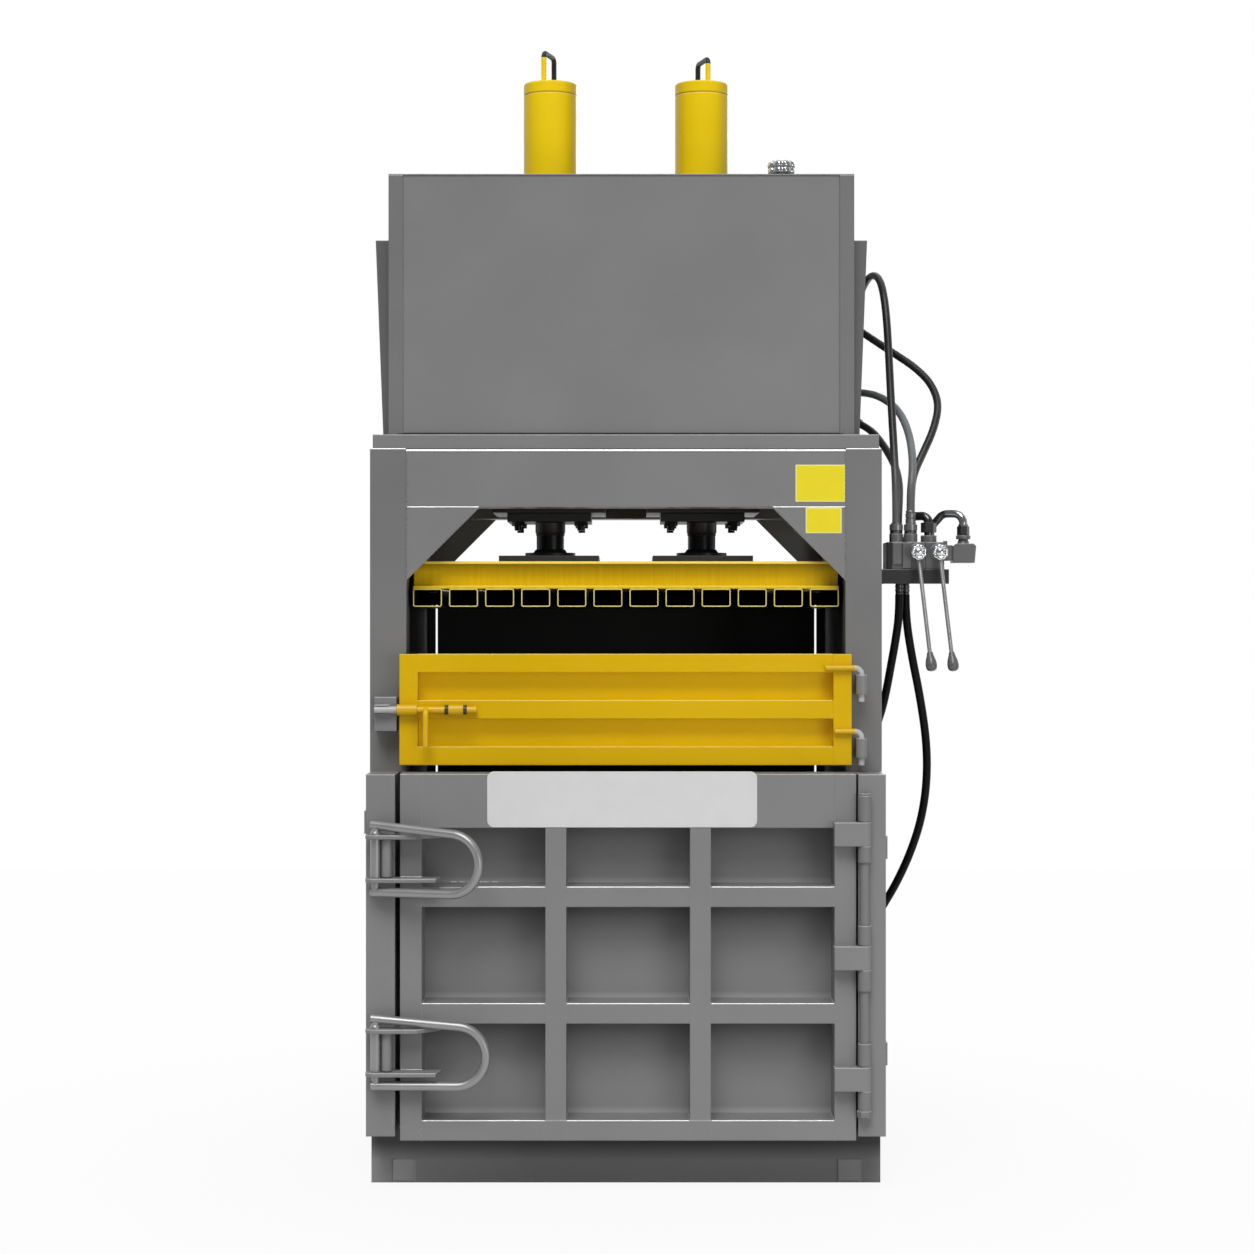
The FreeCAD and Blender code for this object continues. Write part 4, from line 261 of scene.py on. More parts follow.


# %% [markdown]
# ## The dark chamber
# Inside, the chamber is not the grey of the outside: the photograph shows it almost black, where
# little light reaches, and the soft lamps here would leave it grey. So the grey enamel turns to a
# painted shade of black by the place of the surface, which comparisons of its Object coordinates
# give: behind the front columns, between the side walls, and in front of the rear wall's inner
# face. One function makes such a test for any of the three axes, and the shades below all use it.

# %% Chamber shade
def where(tree, place, **spans):
    """1 where each named axis lies within its span, in metres, and otherwise 0."""
    axes = add(tree, "ShaderNodeSeparateXYZ", {0: place})
    tests = []
    for axis, (low, high) in spans.items():
        tests.append(add(tree, "ShaderNodeMath", {0: axes.outputs[axis], 1: low}, operation="GREATER_THAN"))
        tests.append(add(tree, "ShaderNodeMath", {0: axes.outputs[axis], 1: high}, operation="LESS_THAN"))
    result = tests[0].outputs[0]
    for test in tests[1:]:
        result = add(tree, "ShaderNodeMath", {0: result, 1: test.outputs[0]}, operation="MULTIPLY").outputs[0]
    return result


chamber_width, chamber_depth, chamber_height = (-0.6045, 0.6045), (-0.3495, 0.3505), (0.16, 1.7005)


def chamber_shade(tree, place, paint):
    """Black inside the chamber, as painted shade."""
    inside = where(tree, place, X=chamber_width, Y=chamber_depth, Z=chamber_height)
    return add(tree, "ShaderNodeMix", {"Factor": inside, 6: paint, 7: linear("#1c1c1c")},
               data_type="RGBA").outputs[2]


print("black up to", chamber_height[1], "m")

# %% [markdown]
# ## Painted shadow
# The photograph shows the plinth dark under the door, and each bay's sheet dark under the rail
# above it, from shadow. The soft lamps here throw less of such shadow, so the two shades below
# paint it in as a share of the paint's colour by the place of the surface. They also paint the
# plinth's left end lighter, as painted light, and each bay's foot lighter, as a painted highlight.
# They stay when the light changes. Each ramp is given by a place and the share of the colour there.

# %% Plinth shade
# Painted shadow along the plinth's top and painted light at its left end, as (place, share).
plinth_unshaded, plinth_shadowed = (0.060, 1.05), (0.108, 0.36)
left_end, right_of_it = (-0.70, 1.45), (-0.25, 1.0)
skid_ends, skid_top, skid_share = ((-0.6395, -0.5775), (0.5855, 0.6475)), 0.0625, 1.30


def plinth_shade(tree, place, paint):
    """Painted shadow, darkest along the plinth's top under the door; painted light at its left end; lighter
    on the skid ends.
    """
    axes = add(tree, "ShaderNodeSeparateXYZ", {0: place})
    shares = []
    for axis, (start, first), (end, last) in (("Z", plinth_unshaded, plinth_shadowed), ("X", left_end, right_of_it)):
        shares.append(add(tree, "ShaderNodeMapRange", {"Value": axes.outputs[axis], "From Min": start,
                                                       "From Max": end, "To Min": first, "To Max": last}))
    for span in skid_ends:
        skid = where(tree, place, X=span, Z=(0.0, skid_top))
        shares.append(add(tree, "ShaderNodeMapRange", {"Value": skid, "To Min": 1.0, "To Max": skid_share}))
    for share in shares:
        paint = add(tree, "ShaderNodeVectorMath", {0: paint, 3: share.outputs[0]},
                    operation="SCALE").outputs[0]
    return paint


print("skid ends", len(skid_ends))

# %% Bay shade
door_left, door_width, outer_stile, inner_stile = -0.608, 1.228, 0.058, 0.056
bay = (door_width - 2 * outer_stile - 2 * inner_stile) / 3
columns = [door_left + outer_stile + index * (bay + inner_stile) for index in range(3)]
rows = ((0.199, 0.460), (0.514, 0.774), (0.828, 0.987))
# Painted shadow under each rail and a painted highlight along each bay's foot.
under_rail, at_rail, rail_shares = 0.085, 0.018, (0.36, 0.34, 0.60)
foot_from, foot_to, foot_share = 0.004, 0.018, 1.40


def bay_shade(tree, place, paint):
    """The door's sheet: painted shadow under the rail above each bay, and a painted highlight along the bay's
    foot.
    """
    height = add(tree, "ShaderNodeSeparateXYZ", {0: place}).outputs["Z"]
    sheet_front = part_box("main_door_sheet")[0].y
    front_face = (sheet_front - 0.001, sheet_front + 0.001)
    ramps = [((low, high), high - under_rail, high - at_rail, 1.0, darkest)
             for (low, high), darkest in zip(rows, rail_shares)]
    ramps += [((low, high), low + foot_from, low + foot_to, foot_share, 1.0) for low, high in rows]
    for row, start, end, first, last in ramps:
        share = add(tree, "ShaderNodeMapRange", {"Value": height, "From Min": start, "From Max": end,
                                                 "To Min": first, "To Max": last})
        inside = where(tree, place, Y=front_face, Z=row)
        share = add(tree, "ShaderNodeMix", {0: inside, 2: 1.0, 3: share.outputs[0]}, data_type="FLOAT")
        paint = add(tree, "ShaderNodeVectorMath", {0: paint, 3: share.outputs[0]},
                    operation="SCALE").outputs[0]
    return paint


print("bays are", round(bay, 3), "m wide")

# %% Greys
grey_enamel = enamel("grey_enamel", "#808080", "#e4e4e4", shade=chamber_shade)
post_enamel = enamel("post_enamel", "#767676", "#dadada", shade=chamber_shade)
# A darker copy of the grey enamel: painted shade on the side hoods.
hood_shaded_enamel = enamel("hood_shaded_enamel", "#676767", "#a0a0a0")
panel_enamel = enamel("panel_enamel", "#868686", "#e0e0e0", shade=bay_shade)
plinth_enamel = enamel("plinth_enamel", "#787878", "#b0b0b0", roughness=0.6, mirror=0.1, shade=plinth_shade)
dark_enamel = enamel("dark_enamel", "#232323", "#3c3c3c", roughness=0.4)
bracket_enamel = enamel("bracket_enamel", "#242424", "#8a8a8a", roughness=0.4)
print("greys mixed for", len(nodes), "parts")

# %% [markdown]
# ## Bands of colour
# Some parts change their colour along the machine's width, where they are worn or greasy. The band
# follows from the place across the machine, so such a part keeps one mesh.

# %% Bands of colour
def banded(spans, colour):
    """A shade that paints a colour within spans of the machine's width, in metres."""
    def shade(tree, place, paint):
        for span in spans:
            paint = add(tree, "ShaderNodeMix", {"Factor": where(tree, place, X=span), 6: paint,
                                                7: linear(colour)}, data_type="RGBA").outputs[2]
        return paint
    return shade


print("bands follow the machine's width")

# %% [markdown]
# ## Ochre and yellow
# The feed door and the platen are sprayed ochre, the cylinders a brighter yellow. The platen's short
# tubes were sawn after painting, and their cut ends show as thin pale rims. Behind the rims the
# tubes are painted dark inside, as painted shade. The platen's top flange carries a painted
# highlight, and its web a painted shadow just below the flange. All of this follows from the place
# of the surface, so the platen keeps one enamel.

# %% Yellow finishes
rim_depth, flange_height = 0.0012, 0.007
web_start, web_end, web_shadow_share = 0.030, 0.009, 0.55


def platen_shade(tree, place, paint):
    """Pale sawn rims on the tubes' front ends, painted shade in the bores behind them, a painted highlight on
    the top flange and a painted shadow on the web under it.
    """
    height = add(tree, "ShaderNodeSeparateXYZ", {0: place}).outputs["Z"]
    tube_front, tube_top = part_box("platen_tubes")[0].y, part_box("platen_tubes")[1].z
    tubes = (0.0, tube_top - 0.0002)
    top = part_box("platen_frame")[1].z
    web = add(tree, "ShaderNodeMapRange", {"Value": height, "From Min": top - web_start,
                                           "From Max": top - web_end, "To Min": 1.0, "To Max": web_shadow_share})
    paint = add(tree, "ShaderNodeVectorMath", {0: paint, 3: web.outputs[0]}, operation="SCALE").outputs[0]
    flange = where(tree, place, Z=(top - flange_height, top + 0.01))
    bore = where(tree, place, Y=(tube_front + rim_depth, 1.0), Z=tubes)
    rim = where(tree, place, Y=(tube_front - 0.001, tube_front + rim_depth), Z=tubes)
    # The flange's pale colour is a painted highlight and the bores' dark a painted shade; the rims are real.
    for factor, colour in ((flange, "#ffe060"), (bore, "#2a2206"), (rim, "#f4e48c")):
        paint = add(tree, "ShaderNodeMix", {"Factor": factor, 6: paint, 7: linear(colour)},
                    data_type="RGBA").outputs[2]
    return paint


ochre_enamel = enamel("ochre_enamel", "#dbb000", "#ffdc50", roughness=0.36, mirror=0.2)
ochre_panel = enamel("ochre_panel", "#f0cc00", "#ffdc50", roughness=0.36, mirror=0.2)
platen_enamel = enamel("platen_enamel", "#ecc600", "#ffe66e", roughness=0.36, mirror=0.2, streaks=0.05,
                       shade=platen_shade)
yellow_enamel = enamel("yellow_enamel", "#ffdc0e", "#ffee90", roughness=0.26, mirror=0.3)
print("platen tubes' rims", rim_depth * 1000, "mm deep")

# %% Cylinder enamel
# Painted shade: where each flank starts to darken, as a share of the radius, and the share of the
# colour at its rim.
left_inner, left_share = 0.50, 0.86
right_inner, right_share = 0.46, 0.74


def cylinder_shade(tree, place, paint):
    """Painted shade on both cylinders' flanks, where they turn away from the light, which is soft here."""
    across = add(tree, "ShaderNodeSeparateXYZ", {0: place}).outputs["X"]
    low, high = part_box("cylinder_tubes")
    radius = (high.y - low.y) / 2
    half_spacing = (high.x - low.x) / 2 - radius
    middle = (low.x + high.x) / 2
    on_right = add(tree, "ShaderNodeMath", {0: across, 1: 0.0}, operation="GREATER_THAN")
    centre = add(tree, "ShaderNodeMapRange", {"Value": on_right.outputs[0], "To Min": middle - half_spacing,
                                              "To Max": middle + half_spacing})
    offset = add(tree, "ShaderNodeMath", {0: across, 1: centre.outputs[0]}, operation="SUBTRACT")
    for start, end, first, last in ((-radius, -left_inner * radius, left_share, 1.0),
                                    (right_inner * radius, radius, 1.0, right_share)):
        share = add(tree, "ShaderNodeMapRange", {"Value": offset.outputs[0], "From Min": start,
                                                 "From Max": end, "To Min": first, "To Max": last},
                    interpolation_type="SMOOTHSTEP")
        paint = add(tree, "ShaderNodeVectorMath", {0: paint, 3: share.outputs[0]},
                    operation="SCALE").outputs[0]
    return paint


cylinder_enamel = enamel("cylinder_enamel", "#ffda0c", "#fff0a0", roughness=0.34, mirror=0.24,
                         shade=cylinder_shade)
print("cylinder flanks", left_share, "and", right_share)

# %% [markdown]
# ## Bare metals
# The breather cap and the levers' bosses are hard chrome, and the bolts dark steel. The piston rods
# are dark steel too, for their oil and as painted shade, since they stand in shadow.
# Metals keep the default IOR. Drawn and turned steel carries fine tool marks under 0.1 mm apart.
# They are drawn at 2 mm here so that they show.

# %% Steel and chrome
def bare_metal(name, colour, roughness, grain=0.06):
    """Bare metal with fine tool marks and a slightly uneven gloss."""
    material, tree, place = blank_material(name)
    marks = add(tree, "ShaderNodeTexNoise", {"Vector": place, "Scale": 500.0, "Detail": 2.0})
    stain = add(tree, "ShaderNodeTexNoise", {"Vector": place, "Scale": 30.0, "Detail": 3.0})
    gloss = add(tree, "ShaderNodeMapRange", {"Value": stain.outputs["Fac"], **noise_span,
                                             "To Min": roughness - grain, "To Max": roughness + grain})
    shade = add(tree, "ShaderNodeMapRange", {"Value": stain.outputs["Fac"], **noise_span,
                                             "To Min": 0.9, "To Max": 1.08})
    tint = add(tree, "ShaderNodeVectorMath", {0: linear(colour)[:3], 3: shade.outputs[0]}, operation="SCALE")
    rounded = add(tree, "ShaderNodeBevel", {"Radius": 0.0015}, samples=4)
    bump = add(tree, "ShaderNodeBump", {"Height": marks.outputs["Fac"], "Strength": 0.08, "Distance": 0.0005,
                                        "Normal": rounded.outputs[0]})
    skin = add(tree, "ShaderNodeBsdfPrincipled", {"Base Color": tint.outputs[0], "Metallic": 1.0,
                                                  "Roughness": gloss.outputs[0], "Normal": bump.outputs[0]})
    add(tree, "ShaderNodeOutputMaterial", {"Surface": skin.outputs[0]})
    return material


bright_steel = bare_metal("bright_steel", "#b0b0b0", 0.30)
hard_chrome = bare_metal("hard_chrome", "#d4d6d8", 0.12)
dull_steel = bare_metal("dull_steel", "#707070", 0.38)
# On the piston rods this dark steel is partly painted shade.
black_steel = bare_metal("black_steel", "#262626", 0.36)
print("bare metals", bright_steel.name, hard_chrome.name, dull_steel.name, black_steel.name)

# %% [markdown]
# ## Zinc
# The lock handles, the lever bars and the hose fittings are steel with a zinc coat that has gone
# dull. Its skin is part metal and part pale oxide, so it shines and scatters at once. A Principled
# shader with a Metallic value between 0 and 1 gives that mix. The clouds on it are 70 mm across.

# %% Zinc coats
def zinc_coat(name, colour, roughness, share):
    """Dull zinc, whose share of bare metal is the Metallic value."""
    material, tree, place = blank_material(name)
    spangle = add(tree, "ShaderNodeTexNoise", {"Vector": place, "Scale": 14.0, "Detail": 1.0})
    gloss = add(tree, "ShaderNodeMapRange", {"Value": spangle.outputs["Fac"], **noise_span,
                                             "To Min": roughness * 0.9, "To Max": roughness * 1.1})
    tint = add(tree, "ShaderNodeMapRange", {"Value": spangle.outputs["Fac"], **noise_span,
                                            "To Min": 0.97, "To Max": 1.03})
    tint = add(tree, "ShaderNodeVectorMath", {0: linear(colour)[:3], 3: tint.outputs[0]}, operation="SCALE")
    skin = add(tree, "ShaderNodeBsdfPrincipled", {"Base Color": tint.outputs[0], "Metallic": share,
                                                  "Roughness": gloss.outputs[0]})
    add(tree, "ShaderNodeOutputMaterial", {"Surface": skin.outputs[0]})
    return material


zinc_bar = zinc_coat("zinc_bar", "#969696", 0.36, 0.55)
zinc_lever = zinc_coat("zinc_lever", "#acacac", 0.30, 0.8)
zinc_fitting = zinc_coat("zinc_fitting", "#7c7c7c", 0.30, 0.7)
print("zinc coats", zinc_bar.name, zinc_lever.name, zinc_fitting.name)

# %% [markdown]
# ## Rubber
# A hydraulic hose has a wrapped rubber cover: nitrile rubber vulcanised in a cloth bandage, which
# leaves a fine weave on it, 2 mm wide and drawn at 4 mm here. The rubber shines a little, has a
# pale bloom in patches and grows dusty towards the valve, between two heights above it.

# %% Hose rubber
dust_start, dust_full, valve_foot = 2.04, 1.88, 1.70


def hose_rubber(name, colour, bloom, dusty="#5a5a5a", sheen=0.35):
    """Wrapped rubber that turns from its own colour and bloom to the dusty colour just over the valve."""
    material, tree, place = blank_material(name)
    weave = add(tree, "ShaderNodeTexNoise", {"Vector": place, "Scale": 250.0, "Detail": 1.0})
    dust = add(tree, "ShaderNodeTexNoise", {"Vector": place, "Scale": 12.0, "Detail": 4.0})
    tint = add(tree, "ShaderNodeMix", {"Factor": dust.outputs["Fac"], 6: linear(colour), 7: linear(bloom)},
               data_type="RGBA")
    height = add(tree, "ShaderNodeSeparateXYZ", {0: place}).outputs["Z"]
    low_end = add(tree, "ShaderNodeMapRange", {"Value": height, "From Min": dust_start,
                                               "From Max": dust_full})
    over_valve = add(tree, "ShaderNodeMath", {0: height, 1: valve_foot}, operation="GREATER_THAN")
    low_end = add(tree, "ShaderNodeMath", {0: low_end.outputs[0], 1: over_valve.outputs[0]},
                  operation="MULTIPLY")
    tint = add(tree, "ShaderNodeMix", {"Factor": low_end.outputs[0], 6: tint.outputs[2], 7: linear(dusty)},
               data_type="RGBA")
    bump = add(tree, "ShaderNodeBump", {"Height": weave.outputs["Fac"], "Strength": 0.2, "Distance": 0.0004})
    skin = add(tree, "ShaderNodeBsdfPrincipled", {"Base Color": tint.outputs[2], "Roughness": 0.36,
                                                  "IOR": 1.52, "Specular IOR Level": sheen,
                                                  "Normal": bump.outputs[0]})
    add(tree, "ShaderNodeOutputMaterial", {"Surface": skin.outputs[0]})
    return material


dark_rubber = hose_rubber("dark_rubber", "#161616", "#303030")
black_rubber = hose_rubber("black_rubber", "#060606", "#0c0c0c", sheen=0.12)
blue_grey_rubber = hose_rubber("blue_grey_rubber", "#5e6264", "#84888a", dusty="#5c5c5c")
print("hose rubbers", dark_rubber.name, black_rubber.name, blue_grey_rubber.name)

# %% [markdown]
# ## A finish for every CAD part
# Each CAD part gets its finish by name. Parts of one welded assembly share one paint.

# %% Assign the finishes
finishes = {
    grey_enamel: ["chamber_floor", "beam_ring", "cross_beams", "gussets", "side_walls", "rear_wall",
                  "door_knuckles", "door_hinge_pin", "catch_bars", "feed_keeper", "feed_hinge_sleeves",
                  "deck", "cabinet_front_panel", "cabinet_rear_panel", "cabinet_cover", "oil_tank",
                  "main_door_frame", "door_straps", "lock_plates", "platen_pads", "door_posts"],
    post_enamel: ["front_columns", "rear_columns", "cabinet_posts"],
    hood_shaded_enamel: ["cabinet_side_panels"],
    panel_enamel: ["main_door_sheet"],
    plinth_enamel: ["base_frame"],
    ochre_enamel: ["feed_door_frame", "feed_hinge_pins", "bolt_guides", "feed_bolt"],
    ochre_panel: ["feed_door_sheet"],
    platen_enamel: ["platen_frame", "platen_tubes"],
    cylinder_enamel: ["cylinder_tubes", "cylinder_caps"],
    yellow_enamel: ["lifting_loops"],
    dark_enamel: ["cylinder_flanges", "cylinder_mount_plates", "cylinder_glands", "rod_feet", "motor",
                  "pump"],
    bracket_enamel: ["valve_bracket", "valve_body"],
    zinc_bar: ["upper_lock_handle", "lower_lock_handle"],
    bright_steel: ["inner_lever", "outer_lever"],
    hard_chrome: ["breather_cap"],
    black_steel: ["flange_bolts", "piston_rods", "pistons"],
    dull_steel: ["hose_fittings"],
    dark_rubber: ["pressure_hose_a", "pressure_hose_b", "pressure_hose_d"],
    blue_grey_rubber: ["pressure_hose_c"],
    black_rubber: ["drain_hose_short", "drain_hose_long"],
}
for material, names in finishes.items():
    for name in names:
        nodes[name].data.materials.clear()
        nodes[name].data.materials.append(material)
print("parts without a finish:", sorted(set(nodes) - {name for names in finishes.values() for name in names}))

# %% [markdown]
# ## Hoses
# A hose is one length of rubber held at both ends. Each is a smooth NURBS curve whose control points
# are the route's points, with a round bevel as its wall, and it stands for the CAD solid of its name.

# %% Hose curves
def hose(name, route, diameter, material):
    """A hose along the route's control points, in metres, that stands for the CAD node of that name."""
    curve = bpy.data.curves.new(name + "_line", "CURVE")
    curve.dimensions = "3D"
    spline = curve.splines.new("NURBS")
    spline.points.add(len(route) - 1)
    for point, place in zip(spline.points, route):
        point.co = (*place, 1.0)
    spline.order_u = 3
    spline.use_endpoint_u = True
    spline.resolution_u = 12
    curve.bevel_depth = diameter / 2
    curve.bevel_resolution = 6
    curve.use_fill_caps = True
    curve.materials.append(material)
    piece = in_scene(name + "_rubber", curve)
    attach(piece, "frame")
    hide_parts(name)


# For each hose: its rubber, its diameter and length in metres, and its route. The pressure hoses
# start at the cabinet's side, the drain hoses at the valve.
hoses = {
    "pressure_hose_a": (
        dark_rubber, 0.022, 0.988,
        [(0.686, 0.060, 2.500), (0.696, -0.005, 2.532), (0.713, -0.078, 2.548), (0.727, -0.148, 2.526),
         (0.734, -0.202, 2.472), (0.739, -0.236, 2.392), (0.742, -0.262, 2.290), (0.745, -0.305, 2.140),
         (0.748, -0.358, 2.000), (0.748, -0.405, 1.900), (0.748, -0.405, 1.816)]),
    "pressure_hose_b": (
        dark_rubber, 0.022, 0.765,
        [(0.686, 0.040, 2.398), (0.722, -0.010, 2.365), (0.776, -0.055, 2.322), (0.832, -0.100, 2.278),
         (0.876, -0.145, 2.225), (0.892, -0.195, 2.160), (0.870, -0.245, 2.085), (0.836, -0.285, 2.018),
         (0.804, -0.322, 1.955), (0.796, -0.340, 1.900), (0.796, -0.340, 1.850)]),
    "pressure_hose_c": (
        blue_grey_rubber, 0.022, 0.599,
        [(0.682, -0.010, 2.212), (0.708, -0.075, 2.204), (0.745, -0.145, 2.180), (0.779, -0.215, 2.138),
         (0.797, -0.285, 2.072), (0.800, -0.345, 2.005), (0.795, -0.386, 1.950), (0.788, -0.402, 1.900),
         (0.788, -0.402, 1.850)]),
    "pressure_hose_d": (
        dark_rubber, 0.022, 0.485,
        [(0.680, -0.040, 2.118), (0.706, -0.092, 2.098), (0.730, -0.148, 2.060), (0.750, -0.200, 2.018),
         (0.764, -0.248, 1.976), (0.769, -0.290, 1.930), (0.765, -0.322, 1.882), (0.760, -0.340, 1.830),
         (0.760, -0.340, 1.788)]),
    "drain_hose_short": (
        black_rubber, 0.023, 0.501,
        [(0.757, -0.400, 1.618), (0.757, -0.400, 1.562), (0.748, -0.388, 1.490), (0.738, -0.360, 1.420),
         (0.729, -0.328, 1.352), (0.717, -0.298, 1.288), (0.699, -0.272, 1.232), (0.690, -0.262, 1.192),
         (0.690, -0.262, 1.150)]),
    "drain_hose_long": (
        black_rubber, 0.023, 1.056,
        [(0.777, -0.378, 1.618), (0.777, -0.378, 1.560), (0.793, -0.374, 1.455), (0.820, -0.360, 1.330),
         (0.840, -0.340, 1.205), (0.843, -0.320, 1.095), (0.830, -0.300, 0.990), (0.802, -0.280, 0.895),
         (0.766, -0.260, 0.810), (0.731, -0.241, 0.745), (0.704, -0.224, 0.700), (0.694, -0.216, 0.655),
         (0.694, -0.216, 0.612)]),
}
for name, (rubber, diameter, length, route) in hoses.items():
    hose(name, route, diameter, rubber)
print("hoses", len(hoses))

# %% [markdown]
# ## Turned and bent pieces
# Much of a machine is turned on a lathe or bent from bar. A turned shape needs only its outline, as
# pairs of radius and height, and a bent bar needs only its route. Two small functions make both as
# closed meshes with shared vertices, which shade smoothly where the real surface is round. They are
# used for the handles, loops, levers, ferrules and nuts, whose CAD solids are coarser.

# %% Mesh helpers
def lathe(form, outline, base, axis=(0, 0, 1), steps=32, lobes=0, depth=0.0):
    """Add a turned shape from (radius, height) pairs; lobes press in flutes of a depth around it."""
    turn = Vector((0, 0, 1)).rotation_difference(Vector(axis)).to_matrix()
    rings = []
    for radius, height in outline:
        ring = []
        for step in range(steps if radius else 1):
            angle = 2 * math.pi * step / steps
            reach = radius * (1 - depth * max(0.0, math.cos(lobes * angle))) if lobes else radius
            spot = Vector((reach * math.cos(angle), reach * math.sin(angle), height))
            ring.append(form.verts.new(Vector(base) + turn @ spot))
        rings.append(ring)
    for low, high in zip(rings, rings[1:]):
        for i in range(steps):
            j = (i + 1) % steps
            corners = [low[i % len(low)], low[j % len(low)], high[j % len(high)], high[i % len(high)]]
            form.faces.new(list(dict.fromkeys(corners)))
    for ring in (rings[0], rings[-1]):
        if len(ring) > 1:
            form.faces.new(ring)


def layered(form, rings):
    """Join rings of corners into a closed skin: quads between neighbours, and a face on both ends."""
    for low, high in zip(rings, rings[1:]):
        for i in range(len(low)):
            j = (i + 1) % len(low)
            form.faces.new((low[i], low[j], high[j], high[i]))
    form.faces.new(rings[0])
    form.faces.new(rings[-1])


def sweep(form, route, diameter, steps=20):
    """Add a round bar along the points of the route, closed at both ends."""
    points = [Vector(point) for point in route]
    ways = [(b - a).normalized() for a, b in zip(points, points[1:])]
    side = ways[0].orthogonal().normalized()
    rings = []
    for index, point in enumerate(points):
        before, after = ways[max(index - 1, 0)], ways[min(index, len(ways) - 1)]
        side = (before.rotation_difference(after).to_matrix() @ side) if index else side
        middle = (before + after).normalized()
        flat = (side - middle * side.dot(middle)).normalized()
        up = middle.cross(flat)
        rings.append([form.verts.new(point + diameter / 2 * (flat * math.cos(a) + up * math.sin(a)))
                      for a in (2 * math.pi * i / steps for i in range(steps))])
    layered(form, rings)


def bent(route, radius, parts=8):
    """The route of a bar with each corner bent to a radius, as more points."""
    corners = [Vector(point) for point in route]
    points = [corners[0]]
    for before, corner, after in zip(corners, corners[1:], corners[2:]):
        start, end = (before - corner).normalized(), (after - corner).normalized()
        half = start.angle(end) / 2
        cut = radius / math.tan(half)
        centre = corner + (start + end).normalized() * (radius / math.sin(half))
        first, last = corner + start * cut - centre, corner + end * cut - centre
        points += [centre + first.slerp(last, i / parts) * radius / first.slerp(last, i / parts).length
                   for i in range(parts + 1)]
    return points + [corners[-1]]


def finished(name, form, material, body, stands_for=(), sharp=40):
    """Turn the form into a piece that rides on a body and stands for CAD nodes."""
    bmesh.ops.remove_doubles(form, verts=form.verts, dist=1e-6)
    bmesh.ops.recalc_face_normals(form, faces=form.faces)
    mesh = bpy.data.meshes.new(name)
    form.to_mesh(mesh)
    form.free()
    mesh.polygons.foreach_set("use_smooth", [True] * len(mesh.polygons))
    mesh.set_sharp_from_angle(angle=math.radians(sharp))
    mesh.materials.append(material)
    piece = in_scene(name, mesh)
    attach(piece, body)
    if stands_for:
        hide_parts(*stands_for)


def extent(node):
    """The low corner, the high corner and the middle of a CAD node's box."""
    low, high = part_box(node)
    return low, high, (low + high) / 2


print("cylinders stand at", [round(v, 3) for v in extent("cylinder_tubes")[2]])

# %% [markdown]
# ## Round CAD parts, shaded smoothly
# A CAD solid arrives as loose triangles that are shaded flat, so that a cylinder shows its facets.
# For parts whose shape is right as it is, a copy is merged at its doubles and shaded smoothly
# wherever two faces meet at less than 35 degrees. The copy then stands for the CAD part.

# %% Smooth copies
def smooth_copy(node, material, body):
    """The node's corners and triangles alone, because its own flat normals would stay on a full copy."""
    source = nodes[node].data
    form = bmesh.new()
    corners = [form.verts.new(vertex.co) for vertex in source.vertices]
    for triangle in source.polygons:
        form.faces.new([corners[index] for index in triangle.vertices])
    finished(node + "_round", form, material, body, stands_for=(node,), sharp=35)


round_parts = {
    "cylinder_tubes": (cylinder_enamel, "frame", "yellow_paint"),
    "cylinder_caps": (cylinder_enamel, "frame", "yellow_paint"),
    "cylinder_glands": (dark_enamel, "frame", "dark_paint"),
    "rod_feet": (dark_enamel, "platen", "dark_paint"),
    "piston_rods": (black_steel, "platen", "chrome"),
    "motor": (dark_enamel, "frame", "dark_paint"),
    "pump": (dark_enamel, "frame", "dark_paint"),
    "door_knuckles": (post_enamel, "frame", "grey_paint"),
    "door_hinge_pin": (post_enamel, "frame", "machined_steel"),
    "catch_bars": (grey_enamel, "frame", "grey_paint"),
    "feed_hinge_sleeves": (grey_enamel, "frame", "grey_paint"),
    "flange_bolts": (black_steel, "frame", "machined_steel"),
}
for node, (material, body, slot) in round_parts.items():
    smooth_copy(node, material, body)
print("smooth copies", len(round_parts))

# %% [markdown]
# ## Lock handles
# Each door lock is one bar bent to a long loop, welded to both ends of an upright pin. The loop lies
# in a plane through the pin and is turned a little out from the door, so that a hand fits behind it.
# A sweep along the bent route gives the bar, and a lathe gives the pin with its drum.

# %% Lock handles
lock_x, lock_y = -0.671, -0.640
bar_diameter, plate_top = 0.025, 0.0636


